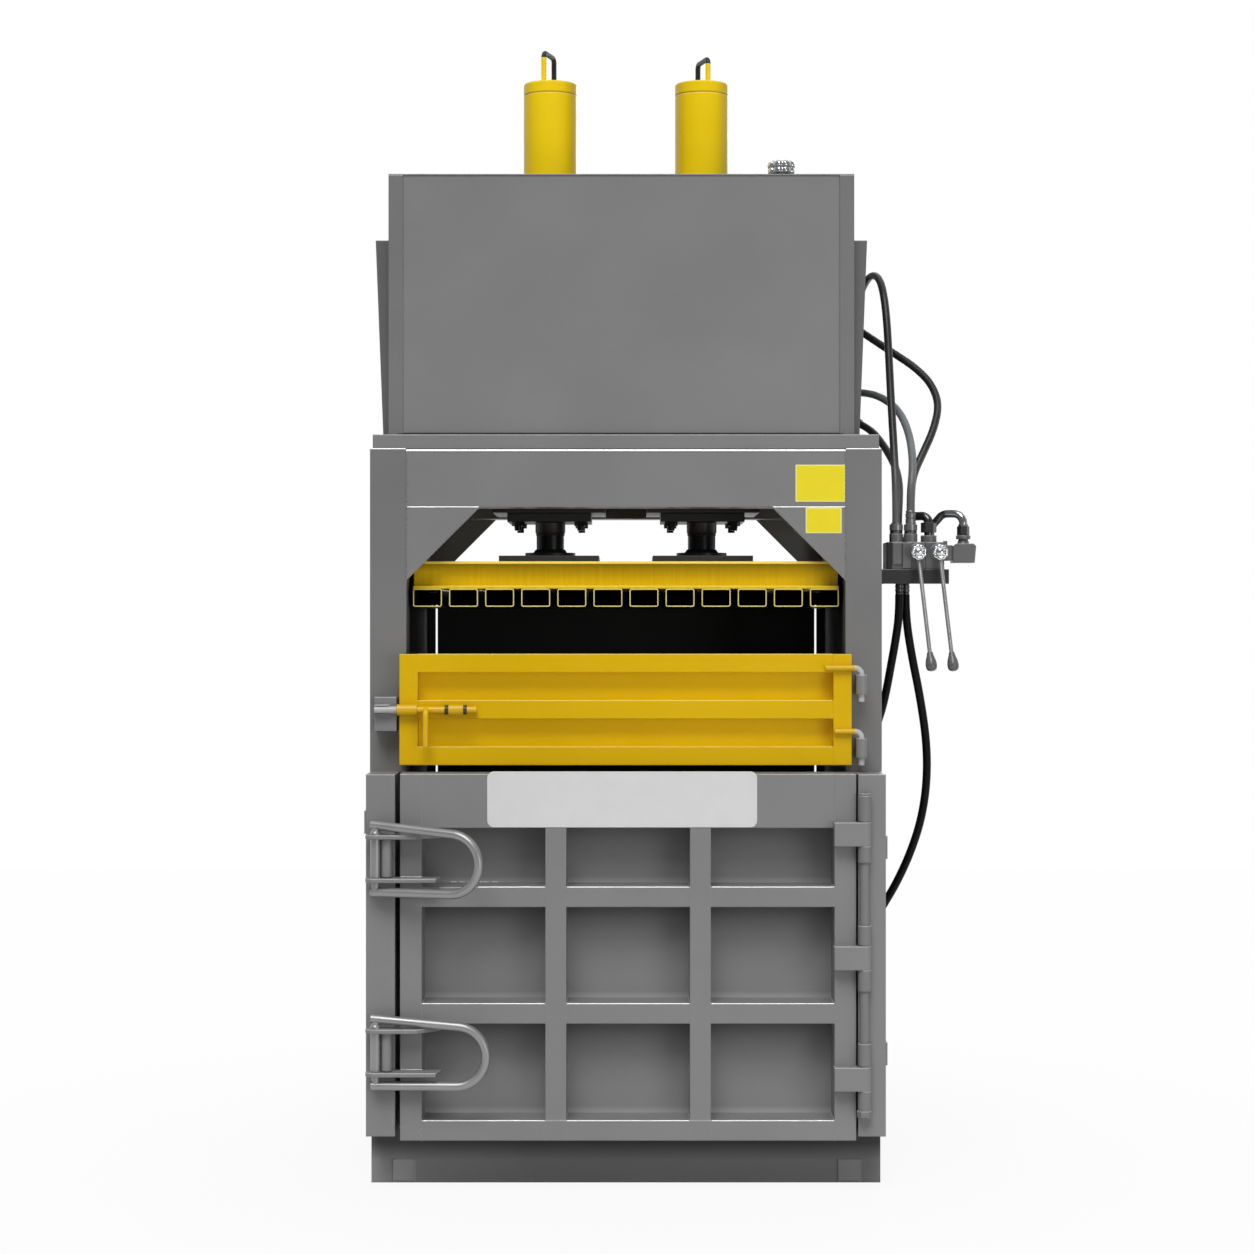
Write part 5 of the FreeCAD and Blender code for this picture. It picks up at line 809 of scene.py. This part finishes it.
def lock_handle(name, level, turn_degrees):
    """The bent bar, its pin with the drum, and the rivet head on top of the upper plate."""
    turn = math.radians(turn_degrees)
    slope, radius, reach, middle = math.radians(4.8), 0.080, 0.217, -0.010
    bend = [(reach + radius * math.cos(a), middle + radius * math.sin(a))
            for a in (math.radians(-90) + (math.pi - slope) * i / 24 for i in range(25))]
    end_z = middle + radius * math.cos(slope) + (reach + radius * math.sin(slope) + 0.012) * math.tan(slope)
    flat_route = [(-0.012, -0.090), *bend, (-0.012, end_z)]
    route = [(lock_x + u * math.cos(turn), lock_y - u * math.sin(turn), level + w) for u, w in flat_route]
    form = bmesh.new()
    sweep(form, route, bar_diameter, steps=24)
    pin = [(0.0, -0.090), (0.011, -0.090), (0.011, -0.0523), (0.0132, -0.0523), (0.014, -0.0515),
           (0.014, 0.0507), (0.0132, 0.0515), (0.011, 0.0515), (0.011, end_z - 0.001), (0.0, end_z - 0.001)]
    lathe(form, pin, (lock_x, lock_y, level), steps=28)
    rivet = [(0.0, 0.0), (0.0150, 0.0), (0.0146, 0.004), (0.0128, 0.0078), (0.0112, 0.0095), (0.0, 0.0095)]
    lathe(form, rivet, (lock_x, lock_y, level + plate_top), steps=28)
    finished(name + "_bar", form, zinc_bar, name.replace("_handle", ""), (name,))


lock_handle("upper_lock_handle", level=0.908, turn_degrees=18.5)
lock_handle("lower_lock_handle", level=0.389, turn_degrees=3.0)
print("lock handles at", lock_x, lock_y)

# %% [markdown]
# ## Lifting loops
# A crane hooks into a bar bent to a square loop on each cylinder cap. Its front leg is yellow with
# the cylinder, and the rest is drawn dark as painted shade, since it lies away from the light. Two
# sweeps that meet give both colours.

# %% Lifting loops
loop_bar, loop_half = 0.015, 0.046


def lifting_loop(side, x, turn_degrees, height):
    """One loop on the cap at x, turned about its upright line, with a yellow leg and a rest in dark painted
    shade.
    """
    turn = math.radians(turn_degrees)
    y, base = extent("cylinder_tubes")[2].y, extent("cylinder_caps")[1].z

    def spot(u, w):
        return (x + u * math.cos(turn), y + u * math.sin(turn), base + w)

    front = bmesh.new()
    sweep(front, [spot(-loop_half, 0.0), spot(-loop_half, height - 0.0142)], loop_bar)
    finished(f"loop_{side}_front_leg", front, yellow_enamel, "frame")
    rest = bmesh.new()
    corners = [spot(-loop_half, height - 0.0141), spot(-loop_half, height), spot(loop_half, height),
               spot(loop_half, 0.0)]
    sweep(rest, bent(corners, 0.014), loop_bar)
    stands_for = ("lifting_loops",) if side == "left" else ()
    finished(f"loop_{side}_rest", rest, dark_enamel, "frame", stands_for)


lifting_loop("left", x=-0.224, turn_degrees=73, height=0.085)
lifting_loop("right", x=0.224, turn_degrees=107, height=0.067)
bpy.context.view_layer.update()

# %% [markdown]
# ## Levers
# Each valve lever is a thin bar with a pear-shaped plastic knob. Its upper end is an eye on a pin,
# and a chrome boss faces the front: a lobed rim around a hexagon hub. The bar, the boss and the
# knob are three pieces, so that each has its own finish.

# %% Lever finishes
def moulded_plastic(name, colour, roughness):
    """Injection-moulded plastic: dielectric, smooth from the mould and a little cloudy from hands."""
    material, tree, place = blank_material(name)
    touch = add(tree, "ShaderNodeTexNoise", {"Vector": place, "Scale": 60.0, "Detail": 3.0})
    gloss = add(tree, "ShaderNodeMapRange", {"Value": touch.outputs["Fac"], **noise_span,
                                             "To Min": roughness - 0.05, "To Max": roughness + 0.08})
    tint = add(tree, "ShaderNodeMapRange", {"Value": touch.outputs["Fac"], **noise_span,
                                            "To Min": 0.93, "To Max": 1.07})
    tint = add(tree, "ShaderNodeVectorMath", {0: linear(colour)[:3], 3: tint.outputs[0]}, operation="SCALE")
    skin = add(tree, "ShaderNodeBsdfPrincipled", {"Base Color": tint.outputs[0], "IOR": 1.5,
                                                  "Roughness": gloss.outputs[0]})
    add(tree, "ShaderNodeOutputMaterial", {"Surface": skin.outputs[0]})
    return material


knob_plastic = moulded_plastic("knob_plastic", "#5c5c5c", 0.25)
print("lever finishes", knob_plastic.name, zinc_lever.name)


# %% Levers
pivot_y, pivot_z, lever_lean, lever_out = -0.465, 1.733, math.radians(15), math.radians(5)
lever_bar, bar_from, bar_to, boss_front = 0.0115, 0.006, 0.290, 0.0165


def lever(name, x):
    """A lever that hangs from its pivot, leaning forwards and a little outwards."""
    pivot = Vector((x, pivot_y, pivot_z))
    lean, out = lever_lean, lever_out
    down = Vector((math.cos(lean) * math.sin(out), -math.sin(lean), -math.cos(lean) * math.cos(out)))
    bar = bmesh.new()
    sweep(bar, [pivot + down * bar_from, pivot + down * bar_to], lever_bar, steps=16)
    eye = [(0.0065, -0.007), (0.017, -0.007), (0.018, -0.006), (0.018, 0.006), (0.017, 0.007),
           (0.0065, 0.007)]
    lathe(bar, eye + eye[:1], pivot, (1, 0, 0), steps=32)
    finished(name + "_bar", bar, zinc_lever, name, (name,))
    boss = bmesh.new()
    rim = [(0.0, 0.0), (0.0205, 0.0), (0.0218, 0.0015), (0.0218, 0.0050), (0.0195, 0.0072), (0.0150, 0.0074),
           (0.0125, 0.0052), (0.0, 0.0052)]
    lathe(boss, rim, pivot - Vector((0, boss_front, 0)), (0, -1, 0), steps=90, lobes=9, depth=0.09)
    hub = [(0.0, 0.0050), (0.0115, 0.0050), (0.0112, 0.0078), (0.0085, 0.0098), (0.0, 0.0106)]
    lathe(boss, hub, pivot - Vector((0, boss_front, 0)), (0, -1, 0), steps=6)
    finished(name + "_boss", boss, hard_chrome, name, sharp=50)
    knob = bmesh.new()
    pear = [(0.0, 0.285), (0.0078, 0.285), (0.0084, 0.289), (0.0092, 0.2925), (0.0116, 0.300),
            (0.0139, 0.3075), (0.0151, 0.3145), (0.0155, 0.3205), (0.0151, 0.3262), (0.0136, 0.3310),
            (0.0108, 0.3345), (0.0068, 0.3364), (0.0, 0.337)]
    lathe(knob, pear, pivot, down, steps=28)
    finished(name + "_knob", knob, knob_plastic, name)
    return down


print("levers lean", [round(v, 3) for v in lever("inner_lever", 0.802)])
print("levers lean", [round(v, 3) for v in lever("outer_lever", 0.861)])

# %% [markdown]
# ## Hose fittings
# A hose end is crimped into a steel ferrule: the crimping jaws press rings into it, and a collar is
# left at its mouth. Hexagon nuts, elbows and one bent pipe join the ferrules to the valve. A hexagon
# nut is a lathe shape of six steps with a chamfer at both ends, and a pipe is a sweep. Each ferrule
# starts where its hose's route ends, so the hoses' table is read again here. The nuts, the elbow and
# the drain hoses' fittings are blued, made as the zinc is, but darker and with more bare metal.

# %% Fitting finishes
blued_steel = zinc_coat("blued_steel", "#565656", 0.24, 0.9)
pipe_chrome = bare_metal("pipe_chrome", "#a6a8aa", 0.18)
valve_casting = enamel("valve_casting", "#5e5e5e", "#a8a8a8", roughness=0.3, mirror=0.6,
                       shade=banded([(0.70, 0.7335)], "#141414"))
smooth_copy("valve_body", valve_casting, "frame")
print("fitting finishes", blued_steel.name, pipe_chrome.name, valve_casting.name)


# %% Ferrules and nuts
def ferrule(form, mouth, end, radius=0.014):
    """A crimped ferrule from its mouth, where the hose goes in, to its end."""
    mouth, end = Vector(mouth), Vector(end)
    length = (end - mouth).length
    outline = [(0.0, 0.0), (radius * 0.86, 0.0), (radius * 0.94, 0.0015), (radius * 0.94, 0.005)]
    rings = max(2, int((length - 0.012) / 0.009))
    step = (length - 0.010) / rings
    for ring in range(rings):
        low = 0.005 + ring * step
        outline += [(radius * 0.86, low + 0.0012), (radius * 0.86, low + 0.0022), (radius, low + 0.0036),
                    (radius, low + step)]
    outline += [(radius * 0.96, length), (0.0, length)]
    lathe(form, outline, mouth, end - mouth, steps=28)


def nut(form, place, height, across):
    """A hexagon nut, upright at place, with chamfered rims."""
    radius = across / math.sqrt(3)  # from the flats to the corners
    outline = [(0.0, 0.0), (radius - 0.0018, 0.0), (radius, 0.0016), (radius, height - 0.0016),
               (radius - 0.0018, height), (0.0, height)]
    lathe(form, outline, place, steps=6)


# %% Ferrules on the cabinet's side
cabinet_skin, elbow_length, elbow_overlap, elbow_diameter = 0.627, 0.045, 0.012, 0.028
routes = {name: route for name, (_, _, _, route) in hoses.items()}
front_hoses, rear_hoses = "ac", "bd"
side_fittings = bmesh.new()
for letter in sorted(front_hoses + rear_hoses):
    mouth, second = (Vector(spot) for spot in routes["pressure_hose_" + letter][:2])
    elbow = mouth + (mouth - second).normalized() * elbow_length
    ferrule(side_fittings, mouth, elbow)
    sweep(side_fittings, [(cabinet_skin, elbow.y, elbow.z), (elbow.x + elbow_overlap, elbow.y, elbow.z)],
          elbow_diameter, steps=24)
finished("side_fittings", side_fittings, zinc_fitting, "frame", ("hose_fittings",))
print("ferrules on the cabinet", len(front_hoses + rear_hoses))

# %% Ferrules and nuts on the valve
valve_top, front_boss_top, valve_middle = 1.762, 1.786, -0.3775
dark_fittings, bright_fittings = bmesh.new(), bmesh.new()
washer = [(0.0, 0.0), (0.0165, 0.0), (0.0175, 0.002), (0.0175, 0.0075), (0.0, 0.0075)]
band = [(0.0, 0.008), (0.0172, 0.008), (0.0185, 0.0095), (0.0185, 0.0245), (0.0172, 0.026), (0.0, 0.026)]
for letter in front_hoses:
    x, y, _ = mouth = routes["pressure_hose_" + letter][-1]
    lathe(dark_fittings, washer, (x, y, front_boss_top), steps=36)
    lathe(bright_fittings, band, (x, y, front_boss_top), steps=36)
    ferrule(bright_fittings, mouth, (x, y, front_boss_top + 0.0255))
for letter in rear_hoses:
    x, y, _ = mouth = routes["pressure_hose_" + letter][-1]
    nut(dark_fittings, (x, y, valve_top), height=0.018, across=0.030)
    ferrule(bright_fittings, mouth, (x, y, valve_top + 0.0175))
print("ferrules on the valve", len(front_hoses + rear_hoses))

# %% Elbow and pipe
elbow_x, elbow_foot, elbow_top = 0.841, 1.782, 1.837
elbow_route = [(0.796, -0.340, elbow_top), (elbow_x, valve_middle, elbow_top),
               (elbow_x, valve_middle, elbow_foot)]
sweep(dark_fittings, bent(elbow_route, 0.022), 0.025, steps=24)
nut(dark_fittings, (elbow_x, valve_middle, elbow_foot + 0.008), height=0.028, across=0.038)

port_x, port_rim, pipe_top = 0.937, 1.782, 1.8435
nut(dark_fittings, (port_x, valve_middle, port_rim), height=0.026, across=0.030)
olive = [(0.0, 0.0), (0.0130, 0.0), (0.0142, 0.0015), (0.0142, 0.0045), (0.0, 0.0045)]
lathe(bright_fittings, olive, (port_x, valve_middle, port_rim + 0.026), steps=32)
pipe_route = bent([(0.850, -0.332, valve_top), (0.852, -0.333, 1.806), (0.884, -0.345, pipe_top),
                   (port_x, valve_middle, pipe_top), (port_x, valve_middle, port_rim + 0.004)],
                  0.028, parts=12)
joint = next(i for i, spot in enumerate(pipe_route) if spot[0] > 0.893)
sweep(dark_fittings, pipe_route[:joint + 1], 0.0225, steps=24)
pipe = bmesh.new()
sweep(pipe, pipe_route[joint:], 0.0235, steps=24)
print("the pipe reaches", round(port_x, 3), "m to the right")

# %% Front slabs of the valve
slab_front, slab_back, slab_chamfer = -0.4455, -0.4395, 0.0015


def front_slab(form, low, high):
    """A flat slab from its low to its high corner (x, z), with a chamfer around its front face."""
    layers = []
    for inset, y in ((0, slab_back), (0, slab_front + slab_chamfer), (slab_chamfer, slab_front)):
        left, right, foot, top = low[0] + inset, high[0] - inset, low[1] + inset, high[1] - inset
        corners = ((left, foot), (right, foot), (right, top), (left, top))
        layers.append([form.verts.new((x, y, z)) for x, z in corners])
    layered(form, layers)


slabs = bmesh.new()
front_slab(slabs, low=(0.7345, 1.7000), high=(0.7600, 1.7590))
front_slab(slabs, low=(0.7615, 1.6885), high=(0.7860, 1.7590))
valve_pieces = (("valve_front_slabs", slabs, zinc_fitting), ("valve_pipe", pipe, pipe_chrome),
                ("valve_nuts_and_elbow", dark_fittings, blued_steel),
                ("valve_ferrules", bright_fittings, zinc_fitting))
for name, form, material in valve_pieces:
    finished(name, form, material, "frame")
print("pieces on the valve", len(valve_pieces))

# %% Ferrules of the drain hoses
valve_underside, foot_drop, foot_radius = 1.679, 0.057, 0.012
rib_depth, wall_overlap = 0.060, 0.0065
wall_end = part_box("side_walls")[1].x - rib_depth - wall_overlap
drain_fittings = bmesh.new()
drain_hoses = ("drain_hose_short", "drain_hose_long")
for name in drain_hoses:
    first, last = routes[name][0], routes[name][-1]
    ferrule(drain_fittings, first, (first[0], first[1], valve_underside), radius=0.0115)
    foot = Vector(last) - Vector((0, 0, foot_drop))
    ferrule(drain_fittings, last, foot)
    spigot = foot + Vector((0, 0, foot_radius))
    sweep(drain_fittings, [(wall_end, spigot.y, spigot.z), spigot], 2 * foot_radius)
finished("drain_fittings", drain_fittings, blued_steel, "frame")
print("drain ferrules", 2 * len(drain_hoses))

# %% [markdown]
# ## Breather cap
# The filler neck's cap is cast with lobes for the hand and chromed. Two rows of lobes, one above the
# other, are turned here with flutes pressed in around them, which gives the bright and dark flecks.
# This cap is drawn 3 mm wider in radius than the CAD cap, and about 9 mm higher.

# %% Breather cap
cap_low, cap_high, cap_middle = extent("breather_cap")
cap_form = bmesh.new()
cap_base = (cap_middle.x, cap_middle.y, cap_low.z)
skirt = cap_high.z - cap_low.z - 0.030
lower_row = [(0.0, 0.0), (0.017, 0.0), (0.017, skirt), (0.036, skirt), (0.0385, skirt + 0.002),
             (0.0385, skirt + 0.014), (0.035, skirt + 0.0165), (0.0, skirt + 0.0165)]
upper_row = [(0.0, skirt + 0.0155), (0.034, skirt + 0.0155), (0.039, skirt + 0.019), (0.040, skirt + 0.025),
             (0.0375, skirt + 0.032), (0.031, skirt + 0.0365), (0.021, skirt + 0.0385), (0.0, skirt + 0.039)]
lathe(cap_form, lower_row, cap_base, steps=96, lobes=8, depth=0.14)
lathe(cap_form, upper_row, cap_base, steps=96, lobes=8, depth=0.12)
finished("breather_cap_cast", cap_form, hard_chrome, "breather", ("breather_cap",), sharp=60)
print("breather cap", [round(v, 3) for v in cap_high - cap_low])

# %% [markdown]
# ## Feed door bolt and hinge pins
# The bolt and the hinge pins were sprayed with the door. The bolt's tip is worn bare, its guide has
# dark end rings, and the pins' bends are grey from the hinge sleeves' grease. These bands follow
# from the place along the door, so each part keeps one mesh and its enamel gets a banded shade.

# %% Banded parts
guide_enamel = enamel("guide_enamel", "#d8ac02", "#ffdc50", roughness=0.36,
                      shade=banded([(-0.495, -0.4828), (-0.4425, -0.4305)], "#3a3428"))
bolt_enamel = enamel("bolt_enamel", "#dcb004", "#ffdc50", roughness=0.3,
                     shade=banded([(-0.70, -0.6215)], "#b4b4b4"))
pin_enamel = enamel("pin_enamel", "#d8ac02", "#ffdc50", roughness=0.3,
                    shade=banded([(0.6235, 0.70)], "#b8b8b4"))
banded_parts = {"bolt_guides": (guide_enamel, "feed_door"), "feed_bolt": (bolt_enamel, "bolt"),
                "feed_hinge_pins": (pin_enamel, "feed_door")}
for node, (material, body) in banded_parts.items():
    smooth_copy(node, material, body)
print("banded parts", len(banded_parts))

# %% [markdown]
# ## Blank plate and stickers
# A pale plate sits on the main door's top rail, and two yellow stickers on the beam and the gusset.
# All are blank here. The plate is thin lacquered sheet with rounded corners. The stickers are vinyl
# foil on a pale backing that shows as a light rim, a slightly larger sheet behind the yellow one.

# %% Flat plates
corner_steps = 8


def flat_plate(name, x, z, front_y, thickness, radius, material, body):
    """A plate in the front plane with rounded corners and a small chamfer towards the viewer."""
    form = bmesh.new()
    layers = []
    for inset, y in ((0.0, front_y + thickness), (0.0, front_y + thickness * 0.4),
                     (thickness * 0.5, front_y)):
        ring = []
        for cx, cz, start in ((x[1] - radius, z[1] - radius, 0), (x[0] + radius, z[1] - radius, 90),
                              (x[0] + radius, z[0] + radius, 180), (x[1] - radius, z[0] + radius, 270)):
            for step in range(corner_steps + 1):
                angle = math.radians(start + 90 * step / corner_steps)
                reach = radius - inset
                ring.append(form.verts.new((cx + reach * math.cos(angle), y, cz + reach * math.sin(angle))))
        layers.append(ring)
    layered(form, layers)
    finished(name, form, material, body, sharp=30)


def printed_foil(name, colour, roughness):
    """A smooth, slightly rippled film, such as vinyl or lacquer, that has faded in patches."""
    material, tree, place = blank_material(name)
    fade = add(tree, "ShaderNodeTexNoise", {"Vector": place, "Scale": 22.0, "Detail": 3.0})
    share = add(tree, "ShaderNodeMapRange", {"Value": fade.outputs["Fac"], **noise_span,
                                             "To Min": 0.985, "To Max": 1.015})
    tint = add(tree, "ShaderNodeVectorMath", {0: linear(colour)[:3], 3: share.outputs[0]}, operation="SCALE")
    bump = add(tree, "ShaderNodeBump", {"Height": fade.outputs["Fac"], "Strength": 0.1, "Distance": 0.002})
    skin = add(tree, "ShaderNodeBsdfPrincipled", {"Base Color": tint.outputs[0], "Roughness": roughness,
                                                  "IOR": 1.5, "Specular IOR Level": 0.3,
                                                  "Normal": bump.outputs[0]})
    add(tree, "ShaderNodeOutputMaterial", {"Surface": skin.outputs[0]})
    return material


plate_lacquer = printed_foil("plate_lacquer", "#d6d6d6", 0.4)
sticker_vinyl = printed_foil("sticker_vinyl", "#eedb26", 0.4)
sticker_backing = printed_foil("sticker_backing", "#f2ee9a", 0.5)
door_face, column_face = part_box("main_door_frame")[0].y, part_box("beam_ring")[0].y
plate_thickness, plate_corner = 0.0018, 0.018
flat_plate("blank_door_plate", (-0.3735, 0.3535), (0.9885, 1.139), door_face - plate_thickness,
           plate_thickness, plate_corner, plate_lacquer, "main_door")
rim_width, rim_thickness, foil_thickness = 0.003, 0.0006, 0.0004
stickers = (("upper", (0.4665, 0.6045), (1.8725, 1.9745)), ("lower", (0.4945, 0.5935), (1.786, 1.8565)))
for name, x, z in stickers:
    flat_plate(f"blank_sticker_{name}_rim", x, z, column_face - rim_thickness, rim_thickness, 0.0015,
               sticker_backing, "frame")
    inner_x, inner_z = (x[0] + rim_width, x[1] - rim_width), (z[0] + rim_width, z[1] - rim_width)
    flat_plate(f"blank_sticker_{name}", inner_x, inner_z, column_face - rim_thickness - foil_thickness,
               foil_thickness, 0.001, sticker_vinyl, "frame")
print("blank stickers", len(stickers))

# %% [markdown]
# ## Painted highlights and a painted shadow along seams
# Where two bars meet at an edge, a bright line is drawn as a painted highlight: along the lower edge
# of each bay of the door, at the seats of its two locks, over the beam under the deck, over the
# gussets, on the column tops and along the feed door's rails. Each is a thin sweep set half into the
# steel. Under the cabinet's front sheet, a black strip is painted shadow in the gap there.

# %% Bright edges
# Near-white strips of this metal are painted highlights along edges.
painted_highlight_steel = bare_metal("painted_highlight_steel", "#e8e8e8", 0.45)


def bright_edges(name, body, runs, diameter, material=painted_highlight_steel):
    """One mesh of thin round strips, one for each run from a start to an end."""
    form = bmesh.new()
    for start, end in runs:
        sweep(form, [start, end], diameter, steps=8)
    finished(name, form, material, body)
    print(name, len(runs))


def level_run(left, right, y, z):
    """A run across the machine, at one depth and one height."""
    return (left, y, z), (right, y, z)


print("edges of", painted_highlight_steel.name)

# %% Edges of the main door
edge_y, edge_drop, bay_margin = door_face + 0.0008, 0.0004, 0.002
late_start = {(columns[0], rows[2][0]): -0.398}  # this line starts further right than the others
bay_edges = [level_run(late_start.get((left, low), left + bay_margin), left + bay - bay_margin,
                       edge_y, low - edge_drop) for left in columns for low, _ in rows]
bright_edges("bay_edges", "main_door", bay_edges, 0.0032)
lock_seats = [level_run(-0.606, -0.548, edge_y, z) for z in (0.8545, 0.3355)]
bright_edges("lock_seat_edges", "main_door", lock_seats, 0.0040)

# %% Edges of the frame
frame_inside, column_outside, column_top = 0.604, 0.702, 2.0185
beam_low, beam_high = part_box("beam_ring")[0].z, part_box("beam_ring")[1].z
seam = [level_run(-frame_inside, frame_inside, column_face + 0.0008, beam_high - 0.0005)]
bright_edges("beam_seam", "frame", seam, 0.0065)
gusset_edges = [level_run(side * frame_inside, side * 0.405, column_face, beam_low) for side in (-1, 1)]
column_tops = [level_run(side * 0.606, side * column_outside, column_face + 0.001, column_top)
               for side in (-1, 1)]
bright_edges("gusset_and_column_edges", "frame", gusset_edges + column_tops, 0.0034)
# A black strip in the gap under the cabinet's front sheet: painted shadow.
gap_shadow = [level_run(-0.630, 0.600, -0.4285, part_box("deck")[1].z + 0.0022)]
bright_edges("cabinet_gap_shadow", "frame", gap_shadow, 0.0045, black_rubber)

# %% Edges of the feed door
feed_low, feed_high, _ = extent("feed_door_frame")
rail, feed_middle = 0.050, (feed_low.z + feed_high.z) / 2
rail_tops = [feed_low.z + rail, feed_middle + rail / 2, feed_high.z]
# A pale ochre strip along each feed rail's top: a painted highlight.
pale_ochre = printed_foil("painted_highlight_ochre", "#f6dc62", 0.35)
feed_edges = [level_run(-0.566, 0.564, feed_low.y + 0.0006, z - 0.0004) for z in rail_tops]
bright_edges("feed_rail_edges", "feed_door", feed_edges, 0.0026, pale_ochre)

# %% [markdown]
# ## Weld beads
# The frame and the doors are joined by arc welds, whose beads lie like a row of scales along each
# joint. A bead repeats along a path, which is what Geometry Nodes do well: the tree takes the seams
# as edges, sets a point at every bead's spacing, and puts a ball of few faces on it, which is
# stretched along the seam and uneven in size from a fixed seed. Realize Instances makes them real.
# The same beads in a pale grey give the few bright spots of spatter beside the upper lock.

# %% Weld bead nodes
ball_segments, ball_rings = 8, 5
ball_stretch, size_least, size_most = (0.75, 0.75, 1.1), 0.75, 1.15


def bead_tree():
    """The node group that sets beads along edges, and the identifiers of its named inputs."""
    tree = bpy.data.node_groups.new("weld_beads", "GeometryNodeTree")
    tree.interface.new_socket("Geometry", in_out="INPUT", socket_type="NodeSocketGeometry")
    sockets = {}
    for label, kind, value in (("Bead spacing", "NodeSocketFloat", 0.004),
                               ("Bead radius", "NodeSocketFloat", 0.003),
                               ("Seed", "NodeSocketInt", 7), ("Finish", "NodeSocketMaterial", None)):
        socket = tree.interface.new_socket(label, in_out="INPUT", socket_type=kind)
        if value is not None:
            socket.default_value = value
        sockets[label] = socket.identifier
    tree.interface.new_socket("Geometry", in_out="OUTPUT", socket_type="NodeSocketGeometry")
    given = add(tree, "NodeGroupInput")
    seam = add(tree, "GeometryNodeMeshToCurve", {"Mesh": given.outputs["Geometry"]})
    points = add(tree, "GeometryNodeCurveToPoints", {"Curve": seam.outputs[0],
                                                     "Length": given.outputs["Bead spacing"]}, mode="LENGTH")
    ball = add(tree, "GeometryNodeMeshUVSphere", {"Segments": ball_segments, "Rings": ball_rings,
                                                  "Radius": given.outputs["Bead radius"]})
    long = add(tree, "GeometryNodeTransform", {"Geometry": ball.outputs[0], "Scale": ball_stretch})
    uneven = add(tree, "FunctionNodeRandomValue", {2: size_least, 3: size_most,
                                                   "Seed": given.outputs["Seed"]}, data_type="FLOAT")
    along = add(tree, "FunctionNodeAlignRotationToVector", {"Vector": points.outputs["Tangent"]}, axis="Z")
    placed = add(tree, "GeometryNodeInstanceOnPoints", {"Points": points.outputs["Points"],
                                                        "Instance": long.outputs[0],
                                                        "Rotation": along.outputs[0],
                                                        "Scale": uneven.outputs[1]})
    real = add(tree, "GeometryNodeRealizeInstances", {0: placed.outputs[0]})
    coated = add(tree, "GeometryNodeSetMaterial", {"Geometry": real.outputs[0],
                                                   "Material": given.outputs["Finish"]})
    add(tree, "NodeGroupOutput", {"Geometry": coated.outputs[0]})
    return tree, sockets


weld_beads, bead_inputs = bead_tree()
print("weld bead inputs", bead_inputs)


# %% Weld seams
def weld(name, body, seams, material, spacing=0.0045, radius=0.0028, seed=7):
    """One mesh of beads along all the seams, each a pair of points."""
    mesh = bpy.data.meshes.new(name + "_path")
    spots, edges = [], []
    for seam in seams:
        edges += [(len(spots) + i, len(spots) + i + 1) for i in range(len(seam) - 1)]
        spots += seam
    mesh.from_pydata(spots, edges, [])
    path = in_scene(name + "_path", mesh)
    modifier = path.modifiers.new("beads", "NODES")
    modifier.node_group = weld_beads
    for label, value in (("Bead spacing", spacing), ("Bead radius", radius), ("Seed", seed),
                         ("Finish", material)):
        modifier[bead_inputs[label]] = value
    evaluated = path.evaluated_get(bpy.context.evaluated_depsgraph_get())
    beads = bpy.data.meshes.new_from_object(evaluated)
    bpy.data.objects.remove(path)
    beads.polygons.foreach_set("use_smooth", [True] * len(beads.polygons))
    piece = in_scene(name, beads)
    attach(piece, body)
    print(name, "beads", len(beads.polygons) // (ball_segments * ball_rings))


gusset_low, column_foot, above_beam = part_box("gussets")[0].z, 0.150, 0.002
frame_seams = []
for side in (-1, 1):
    edge, outside = side * frame_inside, side * 0.704
    frame_seams.append([(edge, column_face, beam_low), (edge, column_face, beam_high)])
    frame_seams.append([(edge, column_face, gusset_low), (edge, column_face, beam_low)])
    frame_seams.append([*level_run(outside, edge, column_face + 0.002, column_foot)])
for left, right in ((0.333, 0.391), (-0.344, -0.286)):
    frame_seams.append([*level_run(left, right, column_face, beam_high + above_beam)])
weld("frame_welds", "frame", frame_seams, post_enamel)

# %% Welds of the doors
seam_y, rail_height = door_face + 0.001, 0.054
door_seams = [[(x, seam_y, low - rail_height), (x, seam_y, low)]
              for left in columns for low, _ in rows for x in (left, left + bay)]
weld("door_welds", "main_door", door_seams, grey_enamel, spacing=0.004, radius=0.0016, seed=3)

spatter_grey = printed_foil("rubbed_edge_steel", "#dcdcdc", 0.35)
spatter_length, spatter_tilt, spatter_z = 0.012, 0.0005, 0.8420
spatter = [[(x, seam_y, spatter_z), (x + spatter_length, seam_y, spatter_z - spatter_tilt)]
           for x in (-0.470, -0.446, -0.425, -0.400, -0.383, -0.358)]
weld("door_white_welds", "main_door", spatter, spatter_grey, spacing=0.004, radius=0.0016,
     seed=5)

feed_seams = [[(x, feed_low.y + 0.0008, z), (x, feed_low.y + 0.0008, z + rail)]
              for x in (feed_low.x + rail, feed_high.x - rail)
              for z in (feed_low.z, feed_high.z - rail, feed_middle - rail / 2)]
weld("feed_door_welds", "feed_door", feed_seams, ochre_enamel, spacing=0.0035, radius=0.0014,
     seed=11)
